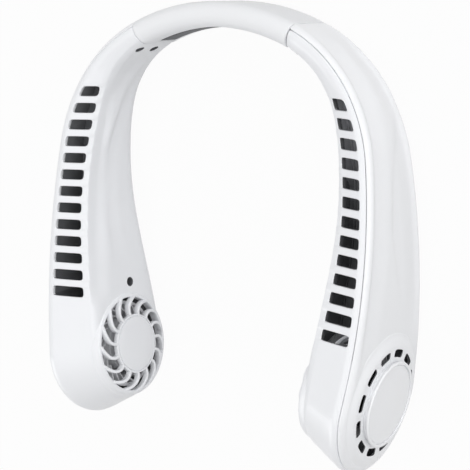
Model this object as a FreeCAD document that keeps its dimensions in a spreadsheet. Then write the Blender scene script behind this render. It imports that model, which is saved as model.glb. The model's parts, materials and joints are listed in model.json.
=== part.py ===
import FreeCAD, Part
import math
import os
import re
from FreeCAD import Placement, Rotation, Vector

# An electric neck fan: two hollow arms joined behind the neck by a flexible sleeve.
# The arms are drawn about their own middle plane, right arm first, and the left arm is its mirror image.
# At the end the whole fan is tipped about X until the fan ends and the bridge rest on one level.

doc = FreeCAD.newDocument("neck_fan")

driving = {
    # Plan outline of the U, as arcs that start at the middle of the bridge
    "bridge_back": 90.0,
    "bridge_thickness": 11.3,
    "bridge_radius": 106.0,
    "bridge_turn": 24.0,
    "outer_shoulder_radius": 71.5,
    "outer_shoulder_turn": 58.0,
    "outer_side_radius": 326.0,
    "inner_shoulder_radius": 43.0,
    "inner_shoulder_turn": 52.0,
    "inner_side_radius": 148.0,
    "fan_toe": 8.5,
    "fan_reach": 12.0,
    # Depth of the arms and the rounding of their section
    "bridge_upper_depth": 12.7,
    "bridge_lower_depth": 18.8,
    "end_radius": 33.7,
    "upper_hollow": 1.8,
    "lower_hollow": 2.6,
    "upper_face_drop": 7.2,
    "lower_face_drop": 8.4,
    "end_face_drop": 10.8,
    "end_share": 0.25,
    "steepest_slope": 0.58,
    "outer_edge_radius": 4.6,
    "inner_edge_radius": 5.6,
    "end_edge_radius": 8.0,
    "wall": 2.2,
    "cover_wall": 2.2,
    "seam_gap": 0.1,
    "cavity_seam_radius": 0.5,
    "end_wall_turn": 2.0,
    # Air outlet slots along the upper edge
    "slot_count": 13,
    "slot_first": 48.2,
    "slot_pitch": 7.92,
    "slot_height": 4.5,
    "slot_outer_margin": 5.3,
    "slot_line_inset": 6.4,
    "slot_line_shoulder_radius": 41.3,
    "slot_line_shoulder_turn": 48.0,
    "slot_line_side_radius": 167.1,
    "slot_corner_radius": 0.8,
    "slot_depth": 11.0,
    # Round intake grille of each inner shell
    "grille_radius": 23.2,
    "grille_disc_radius": 13.6,
    "grille_rise": 3.2,
    "grille_rim_rise": 1.1,
    "grille_rim_width": 1.8,
    "grille_thickness": 2.0,
    "fin_count": 15,
    "fin_width": 2.1,
    "fin_sweep": -17.0,
    "fin_bow": 0.38,
    "fin_phase": 6.2,
    # Scroll wall round each impeller
    "scroll_radius": 23.5,
    "scroll_wall": 1.2,
    "scroll_start": 82.0,
    "scroll_end": 352.0,
    # Swelling, vents and medallion of each outer cover
    "swell_foot_radius": 28.6,
    "swell_top_radius": 24.4,
    "swell_height": 1.6,
    "vent_count": 12,
    "vent_radius": 21.9,
    "vent_width": 3.0,
    "vent_arc": 20.5,
    "vent_phase": 15.0,
    "medallion_radius": 20.2,
    "medallion_top_radius": 19.0,
    "medallion_height": 2.9,
    "medallion_dish_radius": 17.9,
    "medallion_dish_depth": 0.5,
    "medallion_seat_gap": 0.05,
    "medallion_peg_radius": 1.5,
    "medallion_peg_length": 3.6,
    "medallion_peg_place": 9.0,
    # Impeller and motor, measured along the fan axis from the outside of the grille
    "fan_gap": 1.6,
    "impeller_radius": 21.0,
    "impeller_height": 14.0,
    "impeller_plate": 1.0,
    "impeller_rim_width": 1.4,
    "blade_count": 24,
    "blade_inner_radius": 15.2,
    "blade_thickness": 0.9,
    "blade_sweep": 22.0,
    "blade_bow": 0.62,
    "hub_radius": 12.4,
    "hub_wall": 1.0,
    "press_clearance": 0.03,
    "running_clearance": 0.04,
    "rotor_wall": 0.8,
    "rotor_short": 0.6,
    "magnet_thickness": 1.5,
    "magnet_length": 9.0,
    "magnet_setback": 0.5,
    "air_gap": 0.4,
    "stator_length": 6.5,
    "stator_setback": 2.4,
    "stator_slots": 9,
    "stator_slot_width": 1.6,
    "stator_core_radius": 5.4,
    "winding_height": 1.4,
    "winding_margin": 0.5,
    "shaft_radius": 1.0,
    "shaft_tail": 0.6,
    "bush_radius": 2.2,
    "bush_length": 10.0,
    "tube_radius": 3.5,
    "base_gap": 1.2,
    "base_radius": 13.5,
    "base_thickness": 2.4,
    "base_screw_circle": 10.6,
    "base_screw_count": 3,
    "base_post_radius": 2.3,
    # Screws
    "motor_screw_radius": 0.8,
    "motor_screw_head_radius": 1.6,
    "motor_screw_head_height": 1.0,
    "motor_screw_length": 4.5,
    "case_screw_radius": 1.0,
    "case_screw_head_radius": 1.8,
    "case_screw_head_height": 1.2,
    "case_screw_length": 4.2,
    "screw_clearance": 0.12,
    "boss_radius": 3.1,
    "boss_floor": 1.6,
    "boss_top_share": 0.55,
    "post_radius": 2.3,
    "joint_gap": 0.1,
    "pilot_spare": 0.5,
    "fan_screw_reach": 30.0,
    "fan_screw_level": -5.0,
    "bridge_screw_turn": 29.5,
    "bridge_screw_level": 5.2,
    # Air duct below the slots
    "duct_clearance": 0.3,
    "duct_wall": 1.2,
    "duct_floor_level": 2.0,
    "duct_fan_end": -49.0,
    "duct_bridge_end": 62.0,
    "duct_mouth_outer": 4.4,
    "duct_mouth_inner": 3.2,
    # Battery cell and its saddles
    "cell_radius": 7.0,
    "cell_length": 49.0,
    "cell_tip_radius": 2.7,
    "cell_tip_length": 1.0,
    "cell_level": -9.0,
    "cell_station": 89.7,
    "cell_depth": 11.0,
    "cell_clearance": 0.15,
    "saddle_thickness": 1.6,
    "saddle_spacing": 30.0,
    "saddle_half_height": 5.0,
    # Control panel of the left arm
    "panel_turn": 82.4,
    "panel_level": -6.5,
    "board_length": 27.0,
    "board_width": 13.0,
    "board_thickness": 1.2,
    "board_depth": 7.6,
    "board_post_radius": 1.8,
    "board_post_place": 11.0,
    "switch_side": 6.0,
    "switch_height": 2.4,
    "switch_plunger_radius": 1.5,
    "switch_plunger_height": 0.9,
    "button_length": 11.0,
    "button_width": 6.0,
    "button_proud": 0.8,
    "button_flange": 1.0,
    "button_flange_thickness": 0.8,
    "button_clearance": 0.3,
    "button_travel": 0.5,
    "button_stem_radius": 1.4,
    "light_count": 3,
    "light_radius": 0.8,
    "light_first": -9.0,
    "light_pitch": -2.6,
    "light_clearance": 0.05,
    "light_length": 5.9,
    "socket_width": 8.94,
    "socket_height": 3.16,
    "socket_depth": 7.2,
    "socket_shell": 0.3,
    "socket_clearance": 0.25,
    "socket_place": 5.0,
    # Flexible bridge
    "sleeve_gap": 0.2,
    "channel_half_height": 4.0,
    "channel_inset": 3.2,
    "channel_depth": 5.6,
    "spine_thickness": 0.8,
    "spine_half_height": 2.6,
    "spine_inset": 4.4,
    "spine_reach": 9.2,
    "harness_radius": 1.1,
    "harness_inset": 7.3,
    "harness_reach": 12.0,
    "anchor_start": 5.8,
    "anchor_turn": 3.8,
    "anchor_half_height": 6.5,
    "anchor_inset": 3.3,
    "anchor_depth": 6.2,
    "anchor_clearance": 0.1,
    "pad_turn": 22.3,
    "pad_thickness": 1.4,
    "pad_half_height": 8.4,
    "pad_level": -2.5,
    "pad_proud": 0.2,
    "pad_gap": 0.05,
}

sheet = doc.addObject("Spreadsheet::Sheet", "sizes")
for row, (name, value) in enumerate(driving.items(), start=1):
    sheet.set(f"A{row}", name)
    sheet.set(f"B{row}", str(value))
    sheet.setAlias(f"B{row}", name)
doc.recompute()


def size(name):
    return float(getattr(sheet, name))


UP = Vector(0, 0, 1)
TALL = 200.0
WELD = 0.01
MIRROR = (Vector(0, 0, 0), Vector(1, 0, 0))
FAN_HEADING = 90.0 + size("fan_toe")

# Outlines: where each starts on the Y axis, and its arcs as radius and turn, clockwise from +X
outer_outline = (
    size("bridge_back"),
    [
        (size("bridge_radius"), size("bridge_turn")),
        (size("outer_shoulder_radius"), size("outer_shoulder_turn")),
        (size("outer_side_radius"), FAN_HEADING - size("bridge_turn") - size("outer_shoulder_turn")),
    ],
)
inner_outline = (
    size("bridge_back") - size("bridge_thickness"),
    [
        (size("bridge_radius") - size("bridge_thickness"), size("bridge_turn")),
        (size("inner_shoulder_radius"), size("inner_shoulder_turn")),
        (size("inner_side_radius"), FAN_HEADING - size("bridge_turn") - size("inner_shoulder_turn")),
    ],
)
slot_line = (
    size("bridge_back") - size("slot_line_inset"),
    [
        (size("bridge_radius") - size("slot_line_inset"), size("bridge_turn")),
        (size("slot_line_shoulder_radius"), size("slot_line_shoulder_turn")),
        (size("slot_line_side_radius"), FAN_HEADING - size("bridge_turn") - size("slot_line_shoulder_turn")),
    ],
)


def heading_vector(heading):
    angle = math.radians(heading)
    return Vector(math.cos(angle), -math.sin(angle), 0)


def normal_vector(heading):
    angle = math.radians(heading)
    return Vector(math.sin(angle), math.cos(angle), 0)


def outline_point(outline, heading, inset=0.0):
    """Point of an outline where it runs along a heading, moved in by inset."""
    start, arcs = outline
    point = Vector(0, start - inset, 0)
    turned = 0.0
    for radius, turn in arcs:
        step = min(turn, heading - turned)
        point += (normal_vector(turned + step) - normal_vector(turned)) * (radius - inset)
        turned += step
        if step < turn:
            break
    return point


def outline_edges(outline, inset, tail):
    """Edges of an outline from the end of the bridge to a straight tail past the fan."""
    turned = outline[1][0][1]
    edges = []
    for radius, turn in outline[1][1:]:
        ends = [outline_point(outline, turned + share * turn, inset) for share in (0, 0.5, 1)]
        edges.append(Part.Arc(*ends).toShape())
        turned += turn
    last = outline_point(outline, turned, inset)
    edges.append(Part.makeLine(last, last + heading_vector(turned) * tail))
    return edges


def plan_prism(outer_inset, inner_inset, inner_line=inner_outline):
    """Upright prism over the plan of one arm, its two sides moved in."""
    outside = outline_edges(outer_outline, outer_inset, TALL)
    inside = outline_edges(inner_line, -inner_inset, TALL)
    ends = [
        Part.makeLine(outside[-1].Vertexes[-1].Point, inside[-1].Vertexes[-1].Point),
        Part.makeLine(outside[0].Vertexes[0].Point, inside[0].Vertexes[0].Point),
    ]
    wire = Part.Wire(Part.__sortEdges__(outside + inside + ends))
    face = Part.Face(wire)
    face.translate(Vector(0, 0, -TALL / 2))
    return face.extrude(UP * TALL)


def frame_at(origin, heading, level=0.0):
    """Placement with Z out of the arm, X back towards the bridge and Y up."""
    back = heading_vector(heading) * -1
    rotation = Rotation(back, UP, normal_vector(heading), "ZXY")
    return Placement(origin + UP * level, rotation)


# Stations: an outer and an inner point, the crest and fall of both edges, and the inner rounding
fan_outer = outline_point(outer_outline, FAN_HEADING) + heading_vector(FAN_HEADING) * size("fan_reach")
inner_path = Part.Wire(outline_edges(inner_outline, 0.0, TALL))


def inner_point(outer_point, heading):
    """Point of the inner outline straight across the arm from an outer point."""
    reach = Part.makeLine(outer_point, outer_point - normal_vector(heading) * size("bridge_back"))
    return reach.distToShape(inner_path)[1][0][1]


fan_inner = inner_point(fan_outer, FAN_HEADING)
fan_width = (fan_outer - fan_inner).Length
ARM_START = outline_point(outer_outline, size("bridge_turn"))
ARM_SPAN = ARM_START.y - fan_outer.y


def arm_share(point):
    """How far a point lies from the fan, 0, to the end of the bridge, 1."""
    return (point.y - fan_outer.y) / ARM_SPAN


def half_depth(point, side):
    """Depth of the upper or lower edge: a slightly hollow taper."""
    share = arm_share(point)
    rise = size("end_radius") - size(f"bridge_{side}_depth")
    return size("end_radius") - rise * share - 4 * size(f"{side}_hollow") * share * (1 - share)


def towards_end(point, along, at_end):
    """A value that keeps to one number along the arm and runs to another at the round end."""
    nearness = max(0.0, 1 - arm_share(point) / size("end_share"))
    return along + (at_end - along) * nearness ** 2


def make_station(outer_point, heading):
    edges = []
    for side in ("upper", "lower"):
        fall = towards_end(outer_point, size(f"{side}_face_drop"), size("end_face_drop"))
        edges.append((half_depth(outer_point, side), fall))
    rounding = towards_end(outer_point, size("inner_edge_radius"), size("end_edge_radius"))
    return outer_point, inner_point(outer_point, heading), edges, rounding


def arm_stations(start_heading):
    side_start = size("bridge_turn") + size("outer_shoulder_turn")
    side_turn = FAN_HEADING - side_start
    shoulder = size("outer_shoulder_turn")
    headings = [start_heading]
    headings += [size("bridge_turn") + shoulder * share for share in (0.25, 0.5, 0.75, 0.92)]
    headings += [side_start + side_turn * share for share in (0.2, 0.4, 0.6, 0.8, 1.0)]
    stations = [make_station(outline_point(outer_outline, heading), heading) for heading in headings]
    before_end = fan_outer - heading_vector(FAN_HEADING) * size("fan_reach") / 2
    stations.append(make_station(before_end, FAN_HEADING))
    stations.append(make_station(fan_outer, FAN_HEADING))
    return stations


def edge_slope(width, fall):
    return min(fall / width, size("steepest_slope"))


def section_corners(width, edge, skin):
    """Outer and inner corner of one edge of a section, as distances in and up."""
    crest, fall = edge
    outer_inset, inner_inset, edge_inset = skin
    slope = edge_slope(width, fall)
    stretch = math.sqrt(1 + slope ** 2)
    rounding = size("outer_edge_radius")
    sharp = crest + slope * rounding + rounding * (stretch - 1) - edge_inset * stretch
    near, far = outer_inset, width - inner_inset
    return (near, sharp - slope * near), (far, sharp - slope * far)


def rounded_path(corners, radii, to_space, closed):
    """Edges through corners, each rounded by its radius, as lines and arcs."""
    count = len(corners)
    entries, exits, arcs = [], [], []
    for index in range(count):
        corner = Vector(*corners[index], 0)
        if radii[index] == 0:
            entries.append(corner)
            exits.append(corner)
            arcs.append(None)
            continue
        before = (Vector(*corners[index - 1], 0) - corner).normalize()
        after = (Vector(*corners[(index + 1) % count], 0) - corner).normalize()
        half = before.getAngle(after) / 2
        reach = radii[index] / math.tan(half)
        middle = (before + after).normalize()
        centre = corner + middle * (radii[index] / math.sin(half))
        entries.append(corner + before * reach)
        exits.append(corner + after * reach)
        arcs.append(centre - middle * radii[index])
    edges = []
    for index in range(count):
        if arcs[index] is not None:
            points = [to_space(point) for point in (entries[index], arcs[index], exits[index])]
            edges.append(Part.Arc(*points).toShape())
        if closed or index < count - 1:
            following = entries[(index + 1) % count]
            edges.append(Part.makeLine(to_space(exits[index]), to_space(following)))
    return edges


def section_wire(station, skin, seam_radius):
    """Closed section of an arm at a station."""
    outside, inside, edges, rounding = station
    across = (inside - outside).normalize()
    width = (inside - outside).Length
    upper, lower = [section_corners(width, edge, skin) for edge in edges]
    corners = [*upper] + [(distance, -level) for distance, level in reversed(lower)]
    inner_radius = rounding - skin[1]

    def to_space(point):
        return outside + across * point.x + UP * point.y

    radii = [seam_radius, inner_radius, inner_radius, seam_radius]
    return Part.Wire(rounded_path(corners, radii, to_space, True))


def arm_solid(skin, seam_radius, start_heading):
    """One arm with its skin moved in: a loft along the arm and a turned round end."""
    stations = arm_stations(start_heading)
    arm = Part.makeLoft([section_wire(station, skin, seam_radius) for station in stations], True, False)
    across = (fan_inner - fan_outer).normalize()
    _, _, edges, rounding = stations[-1]
    outer_corner, inner_corner = section_corners(fan_width, edges[0], skin)
    corners = [(outer_corner[0], 0), outer_corner, inner_corner, (inner_corner[0], 0)]

    def to_space(point):
        return fan_outer + across * point.x + UP * point.y

    loop = rounded_path(corners, [0, seam_radius, rounding - skin[1], 0], to_space, True)
    face = Part.Face(Part.Wire(loop))
    end = face.revolve(fan_outer, across * -1, 180)
    return arm.fuse(end)


def drop_to_solid(shape):
    """The single solid of a boolean result."""
    solids = shape.Solids
    return max(solids, key=lambda solid: solid.Volume)


FAN = frame_at(fan_inner, FAN_HEADING)
fan_axis = normal_vector(FAN_HEADING)

# Resting attitude: tip the fan until its two ends and the crest of the bridge share one level
crest_inset = size("outer_edge_radius")
bridge_crest_y = size("bridge_back") - crest_inset
end_crest_y = (fan_outer - fan_axis * crest_inset).y
crest_span = bridge_crest_y - end_crest_y
slant = math.hypot(crest_span, size("bridge_lower_depth"))
tilt = math.asin(size("end_radius") / slant) - math.atan2(size("bridge_lower_depth"), crest_span)
turn_down = Rotation(Vector(1, 0, 0), -math.degrees(tilt))
lift = size("end_radius") - turn_down.multVec(Vector(0, end_crest_y, 0)).z


def arm_part(label, shape):
    """A sub-part of given shape, in the arm frame until the fan is laid down."""
    part = doc.addObject("Part::Feature", label)
    part.Shape = shape
    part.Label = label
    return part


LIE = Placement(Vector(0, 0, lift), turn_down)
parts = {}


def keep(label, item, place=Placement()):
    """Name a finished right-hand or middle sub-part and lay it down with the fan."""
    item.Label = label
    item.Placement = LIE.multiply(place)
    parts[label] = item


def keep_mirrored(label, source):
    """The left-hand twin of a right-hand object."""
    twin = doc.addObject("Part::Mirroring", label)
    twin.Source = source
    twin.Base, twin.Normal = MIRROR
    twin.Label = label
    parts[label] = twin


def keep_pair(name, item, place=Placement()):
    """Right and left sub-parts of one object."""
    keep(name + "_right", item, place)
    keep_mirrored(name + "_left", item)


def keep_left(name, item, place=Placement()):
    """Left sub-part of an object that is drawn on the right."""
    item.Label = name + "_drawn_right"
    item.Placement = LIE.multiply(place)
    keep_mirrored(name, item)


def placed(shape, place):
    moved = shape.copy()
    moved.Placement = place.multiply(moved.Placement)
    return moved


def ring_sector(outer, inner, height, base, start, sweep):
    """Upright part ring about the local Z axis."""
    ring = Part.makeCylinder(outer, height, Vector(0, 0, base), UP, sweep)
    ring = ring.cut(Part.makeCylinder(inner, height, Vector(0, 0, base), UP, 360))
    ring.rotate(Vector(0, 0, 0), UP, start)
    return ring


bridge_axis = Vector(0, size("bridge_back") - size("bridge_radius"), 0)


def bridge_band(outer_inset, depth, half_height, start, end):
    """Part ring concentric with the bridge; angles run from the middle to the right."""
    radius = size("bridge_radius") - outer_inset
    band = ring_sector(radius, radius - depth, 2 * half_height, -half_height, 90 - end, end - start)
    band.translate(bridge_axis)
    return band


# Screw places: a point of the inner face, the heading there, the level and the width of the arm
def screw_places():
    along = fan_inner - heading_vector(FAN_HEADING) * size("fan_screw_reach")
    heading = size("bridge_screw_turn")
    shoulder = outline_point(outer_outline, heading)
    inside = inner_point(shoulder, heading)
    width = (shoulder - inside).Length
    level = size("bridge_screw_level")
    return [
        (along, FAN_HEADING, size("fan_screw_level"), fan_width),
        (inside, heading, level, width),
        (inside, heading, -level, width),
    ]


def screw_frames():
    return [
        (frame_at(origin, heading, level), size("boss_top_share") * width, width)
        for origin, heading, level, width in screw_places()
    ]


def slot_cutters():
    """One rounded prism for each air outlet."""
    margins = plan_prism(size("slot_outer_margin"), 0.0, slot_line)
    cutters = []
    for index in range(int(size("slot_count"))):
        middle = size("slot_first") - index * size("slot_pitch")
        low = middle - size("slot_height") / 2
        floor = half_depth(Vector(0, middle, 0), "upper") - size("slot_depth")
        band = Part.makeBox(TALL, size("slot_height"), TALL / 2, Vector(0, low, floor))
        slot = margins.common(band)
        upright = [edge for edge in slot.Edges if abs(edge.tangentAt(edge.FirstParameter).z) > 0.99]
        cutters.append(slot.makeFillet(size("slot_corner_radius"), upright))
    return cutters


def swept_gap(start, stop, near, far, sweep, bow_share, base, height):
    """Opening between two swept fins, from a near radius to a far one."""
    def polar(radius, angle):
        return Vector(radius * math.cos(math.radians(angle)), radius * math.sin(math.radians(angle)), base)

    middle = (near + far) / 2
    bow = sweep * bow_share
    edges = [
        Part.Arc(polar(near, start), polar(middle, start + bow), polar(far, start + sweep)).toShape(),
        Part.Arc(
            polar(far, start + sweep),
            polar(far, (start + stop) / 2 + sweep),
            polar(far, stop + sweep),
        ).toShape(),
        Part.Arc(polar(far, stop + sweep), polar(middle, stop + bow), polar(near, stop)).toShape(),
        Part.Arc(polar(near, stop), polar(near, (start + stop) / 2), polar(near, start)).toShape(),
    ]
    return Part.Face(Part.Wire(edges)).extrude(UP * height)


def grille_dome():
    """Low dome of the intake grille before its gaps are cut: a rim, a cone and a flat disc."""
    near, far = size("grille_disc_radius"), size("grille_radius")
    top, rim_top = -size("grille_rise"), -size("grille_rim_rise")
    thick = size("grille_thickness")
    foot = far + size("grille_rim_width")
    wall = size("wall")
    profile = [
        (0, top),
        (near, top),
        (far, rim_top),
        (foot, 0),
        (foot, wall),
        (far, wall),
        (far, rim_top + thick),
        (near, top + thick),
        (0, top + thick),
    ]
    wire = Part.makePolygon([Vector(radius, 0, level) for radius, level in profile + profile[:1]])
    return placed(Part.Face(wire).revolve(Vector(), UP, 360), FAN)


def grille_cutters():
    """The gaps between the swept fins of the intake grille."""
    pitch = 360.0 / size("fin_count")
    near, far = size("grille_disc_radius"), size("grille_radius")
    fin_angle = math.degrees(2 * size("fin_width") / (near + far))
    base = -2 * size("grille_rise")
    gaps = []
    for index in range(int(size("fin_count"))):
        start = size("fin_phase") + index * pitch + fin_angle / 2
        stop = start + pitch - fin_angle
        gap = swept_gap(start, stop, near, far, size("fin_sweep"), size("fin_bow"), base, -2 * base)
        gaps.append(placed(gap, FAN))
    return gaps


def inner_shell_shape(arm, cavity):
    """Tray with the inner face, the edges, the outlet slots, the grille and the screw bosses."""
    below_seam = plan_prism(size("cover_wall") + size("seam_gap"), -size("bridge_thickness"))
    body = drop_to_solid(arm.common(below_seam))
    scroll_top = fan_width - size("cover_wall") - size("seam_gap") - size("joint_gap")
    scroll = ring_sector(
        size("scroll_radius") + size("scroll_wall"),
        size("scroll_radius"),
        scroll_top - size("wall") / 2,
        size("wall") / 2,
        size("scroll_start"),
        size("scroll_end") - size("scroll_start"),
    )
    added = [placed(scroll, FAN)]
    removed = []
    for place, top, width in screw_frames():
        boss = Part.makeCylinder(size("boss_radius"), top)
        added.append(placed(boss, place))
        head_hole = size("case_screw_head_radius") + size("screw_clearance")
        bore = Part.makeCylinder(head_hole, top, Vector(0, 0, -size("boss_floor")))
        shank_hole = Part.makeCylinder(size("case_screw_radius") + size("screw_clearance"), width)
        removed += [placed(bore, place), placed(shank_hole, place)]
    added += cell_saddles()
    intake = Part.makeCylinder(
        size("grille_radius"), 2 * size("wall") + size("end_edge_radius"), Vector(0, 0, -size("wall"))
    )
    shell = drop_to_solid(body.cut(cavity).cut(placed(intake, FAN)))
    inside = [piece.common(body) for piece in added]
    shell = drop_to_solid(shell.multiFuse(inside + [grille_dome()]))
    removed += slot_cutters() + grille_cutters()
    wire_way = bridge_band(
        size("channel_inset"),
        size("channel_depth"),
        size("channel_half_height"),
        size("bridge_turn") - size("end_wall_turn"),
        size("bridge_turn") + 2 * size("end_wall_turn"),
    )
    removed.append(wire_way)
    return drop_to_solid(shell.cut(removed))


def cell_frame():
    heading = size("cell_station")
    return frame_at(
        outline_point(outer_outline, heading, size("cell_depth")), heading, size("cell_level")
    )


def cell_saddles():
    """Two ribs of the inner shell that cradle the battery cell."""
    place = cell_frame()
    reach = size("cell_radius") + size("saddle_half_height")
    saddles = []
    for side in (-1, 1):
        rib = Part.makeBox(
            size("saddle_thickness"),
            reach + size("cell_radius"),
            fan_width,
            Vector(side * size("saddle_spacing") / 2 - size("saddle_thickness") / 2, -reach, -fan_width),
        )
        hollow = Part.makeCylinder(
            size("cell_radius") + size("cell_clearance"),
            2 * size("cell_length"),
            Vector(-size("cell_length"), 0, 0),
            Vector(1, 0, 0),
        )
        saddles.append(placed(rib.cut(hollow), place))
    return saddles


swell_top = fan_width + size("swell_height")


def outer_cover_shape(arm):
    """Cover plate with the swelling over the fan, its vents and the posts inside."""
    plate = drop_to_solid(arm.cut(plan_prism(size("cover_wall"), -size("bridge_thickness"))))
    rise = size("swell_height")
    swell = Part.makeCone(
        size("swell_foot_radius"), size("swell_top_radius"), rise, Vector(0, 0, fan_width - WELD)
    )
    hollow = Part.makeCone(
        size("swell_foot_radius") - size("cover_wall"),
        size("swell_top_radius") - size("cover_wall"),
        rise,
        Vector(0, 0, fan_width - size("cover_wall")),
    )
    cover = drop_to_solid(plate.fuse(placed(swell, FAN)).cut(placed(hollow, FAN)))
    posts = []
    pilots = []
    for place, top, width in screw_frames():
        start = top + size("joint_gap")
        post = Part.makeCylinder(size("post_radius"), width - start, Vector(0, 0, start))
        posts.append(placed(post, place).common(arm))
        pilot = Part.makeCylinder(
            size("case_screw_radius") + size("press_clearance"),
            size("case_screw_length") - size("boss_floor") + size("pilot_spare"),
            Vector(0, 0, top),
        )
        pilots.append(placed(pilot, place))
    base_back = motor_base_front() + size("base_thickness") + size("joint_gap")
    ceiling = swell_top - size("cover_wall") / 2
    for index in range(int(size("base_screw_count"))):
        angle = 360.0 * index / size("base_screw_count")
        spot = Vector(size("base_screw_circle"), 0, 0)
        spot = Rotation(UP, angle).multVec(spot)
        post = Part.makeCylinder(size("base_post_radius"), ceiling - base_back, spot + UP * base_back)
        pilot = Part.makeCylinder(
            size("motor_screw_radius") + size("press_clearance"),
            size("motor_screw_length"),
            spot + UP * base_back,
        )
        posts.append(placed(post, FAN))
        pilots.append(placed(pilot, FAN))
    cover = drop_to_solid(cover.multiFuse(posts))
    pitch = 360.0 / size("vent_count")
    below_roof = swell_top - 1.5 * size("cover_wall")
    for index in range(int(size("vent_count"))):
        vent = ring_sector(
            size("vent_radius") + size("vent_width") / 2,
            size("vent_radius") - size("vent_width") / 2,
            2 * size("cover_wall"),
            below_roof,
            size("vent_phase") + index * pitch - size("vent_arc") / 2,
            size("vent_arc"),
        )
        pilots.append(placed(vent, FAN))
    for side in (-1, 1):
        peg_hole = Part.makeCylinder(
            size("medallion_peg_radius") + size("press_clearance"),
            2 * size("cover_wall"),
            Vector(0, side * size("medallion_peg_place"), below_roof),
        )
        pilots.append(placed(peg_hole, FAN))
    return drop_to_solid(cover.cut(pilots))


def motor_base_front():
    return size("wall") + size("fan_gap") + size("impeller_height") + size("base_gap")


def air_duct_shape():
    """Dark channel below the slots, open upwards and towards the fan."""
    start = size("bridge_turn") + size("end_wall_turn")
    clear = size("duct_clearance")
    skin = (
        size("cover_wall") + size("seam_gap") + clear,
        size("wall") + clear,
        size("wall") + clear,
    )
    outside = arm_solid(skin, size("cavity_seam_radius"), start)
    deeper = tuple(inset + size("duct_wall") for inset in skin)
    inside = arm_solid(deeper, size("cavity_seam_radius"), start)
    span = size("duct_bridge_end") - size("duct_fan_end")
    low = size("duct_floor_level")

    def level_box(level):
        return Part.makeBox(TALL, span, TALL / 2, Vector(0, size("duct_fan_end"), level))

    duct = outside.common(level_box(low)).cut(inside.common(level_box(low + size("duct_wall"))))
    mouth = plan_prism(size("duct_mouth_outer"), size("duct_mouth_inner"))
    mouth = mouth.common(level_box(low + 2 * size("duct_wall")))
    return drop_to_solid(duct.cut(mouth))


arm_shape = arm_solid((0, 0, 0), size("outer_edge_radius"), size("bridge_turn"))
cavity_shape = arm_solid(
    (size("cover_wall") / 2, size("wall"), size("wall")),
    size("cavity_seam_radius"),
    size("bridge_turn") + size("end_wall_turn"),
)


def bound(kind, name, sizes):
    """Object of the document with its properties bound to cells of the sheet."""
    item = doc.addObject(kind, name)
    for prop, expression in sizes.items():
        item.setExpression(prop, re.sub(r"[a-z]+_[a-z_]+|wall", r"sizes.\g<0>", expression))
    return item


def cylinder(name, radius, height, base="0", angle="360"):
    return bound(
        "Part::Cylinder",
        name,
        {"Radius": radius, "Height": height, "Placement.Base.z": base, "Angle": angle},
    )


def block(name, length, width, height, base):
    """Box with its middle on the local Z axis."""
    return bound(
        "Part::Box",
        name,
        {
            "Length": length,
            "Width": width,
            "Height": height,
            "Placement.Base.x": f"-({length}) / 2",
            "Placement.Base.y": f"-({width}) / 2",
            "Placement.Base.z": base,
        },
    )


def pill(name, length, width, height, base):
    """Upright plate with two round ends."""
    middle = block(name + "_middle", f"{length} - ({width})", width, height, base)
    ends = []
    for side, sign in (("near", "-"), ("far", "")):
        end = cylinder(f"{name}_{side}", f"({width}) / 2", height, base)
        end.setExpression(
            "Placement.Base.x",
            re.sub(r"[a-z]+_[a-z_]+", r"sizes.\g<0>", f"{sign}({length} - ({width})) / 2"),
        )
        ends.append(end)
    return fuse(name, middle, *ends)


def cut(name, base, tool):
    item = doc.addObject("Part::Cut", name)
    item.Base, item.Tool = base, tool
    return item


def fuse(name, *shapes):
    item = doc.addObject("Part::MultiFuse", name)
    item.Shapes = list(shapes)
    return item


def group(name, *shapes):
    item = doc.addObject("Part::Compound", name)
    item.Links = list(shapes)
    return item


def ring(name, outer, inner, height, base="0"):
    body = cylinder(name + "_body", outer, height, base)
    return cut(name, body, cylinder(name + "_bore", inner, height, base))


# Levels along the fan axis, written as expressions of the sheet
FAN_FRONT = "wall + fan_gap"
FAN_BACK = f"{FAN_FRONT} + impeller_height"
CAN_FRONT = f"{FAN_FRONT} + hub_wall + press_clearance"
CAN_INSIDE = f"{CAN_FRONT} + rotor_wall"
CAN_RADIUS = "hub_radius - hub_wall - press_clearance"
MAGNET_RADIUS = f"{CAN_RADIUS} - rotor_wall - press_clearance"
STATOR_RADIUS = f"{MAGNET_RADIUS} - magnet_thickness - air_gap"
STATOR_FRONT = f"{CAN_INSIDE} + stator_setback"
TUBE_FRONT = f"{CAN_INSIDE} + shaft_tail"
BASE_FRONT = f"{FAN_BACK} + base_gap"


def make_impeller():
    hub = cut(
        "hub",
        cylinder("hub_body", "hub_radius", "impeller_height", FAN_FRONT),
        cylinder("hub_bore", "hub_radius - hub_wall", "impeller_height", f"{FAN_FRONT} + hub_wall"),
    )
    plate = ring(
        "back_plate", "impeller_radius", "hub_radius - hub_wall / 2", "impeller_plate",
        f"{FAN_BACK} - impeller_plate",
    )
    rim = ring(
        "front_rim", "impeller_radius", "impeller_radius - impeller_rim_width", "impeller_plate", FAN_FRONT
    )
    blade_width = math.degrees(size("blade_thickness") / size("blade_inner_radius"))
    pitch = 360.0 / size("blade_count")
    blades = []
    for index in range(int(size("blade_count"))):
        start = index * pitch
        blades.append(
            swept_gap(
                start,
                start + blade_width,
                size("blade_inner_radius"),
                size("impeller_radius") - size("press_clearance"),
                size("blade_sweep"),
                size("blade_bow"),
                size("wall") + size("fan_gap"),
                size("impeller_height"),
            )
        )
    blade_ring = doc.addObject("Part::Feature", "blades")
    blade_ring.Shape = Part.makeCompound(blades)
    return fuse("impeller", hub, plate, rim, blade_ring)


def make_rotor_can():
    body = cylinder("can_body", CAN_RADIUS, "impeller_height - hub_wall - rotor_short", CAN_FRONT)
    bore = cylinder("can_bore", f"{CAN_RADIUS} - rotor_wall", "impeller_height", CAN_INSIDE)
    hole = cylinder("can_hole", "shaft_radius + press_clearance", "impeller_height", FAN_FRONT)
    return cut("rotor_can", cut("can_cup", body, bore), hole)


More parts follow.
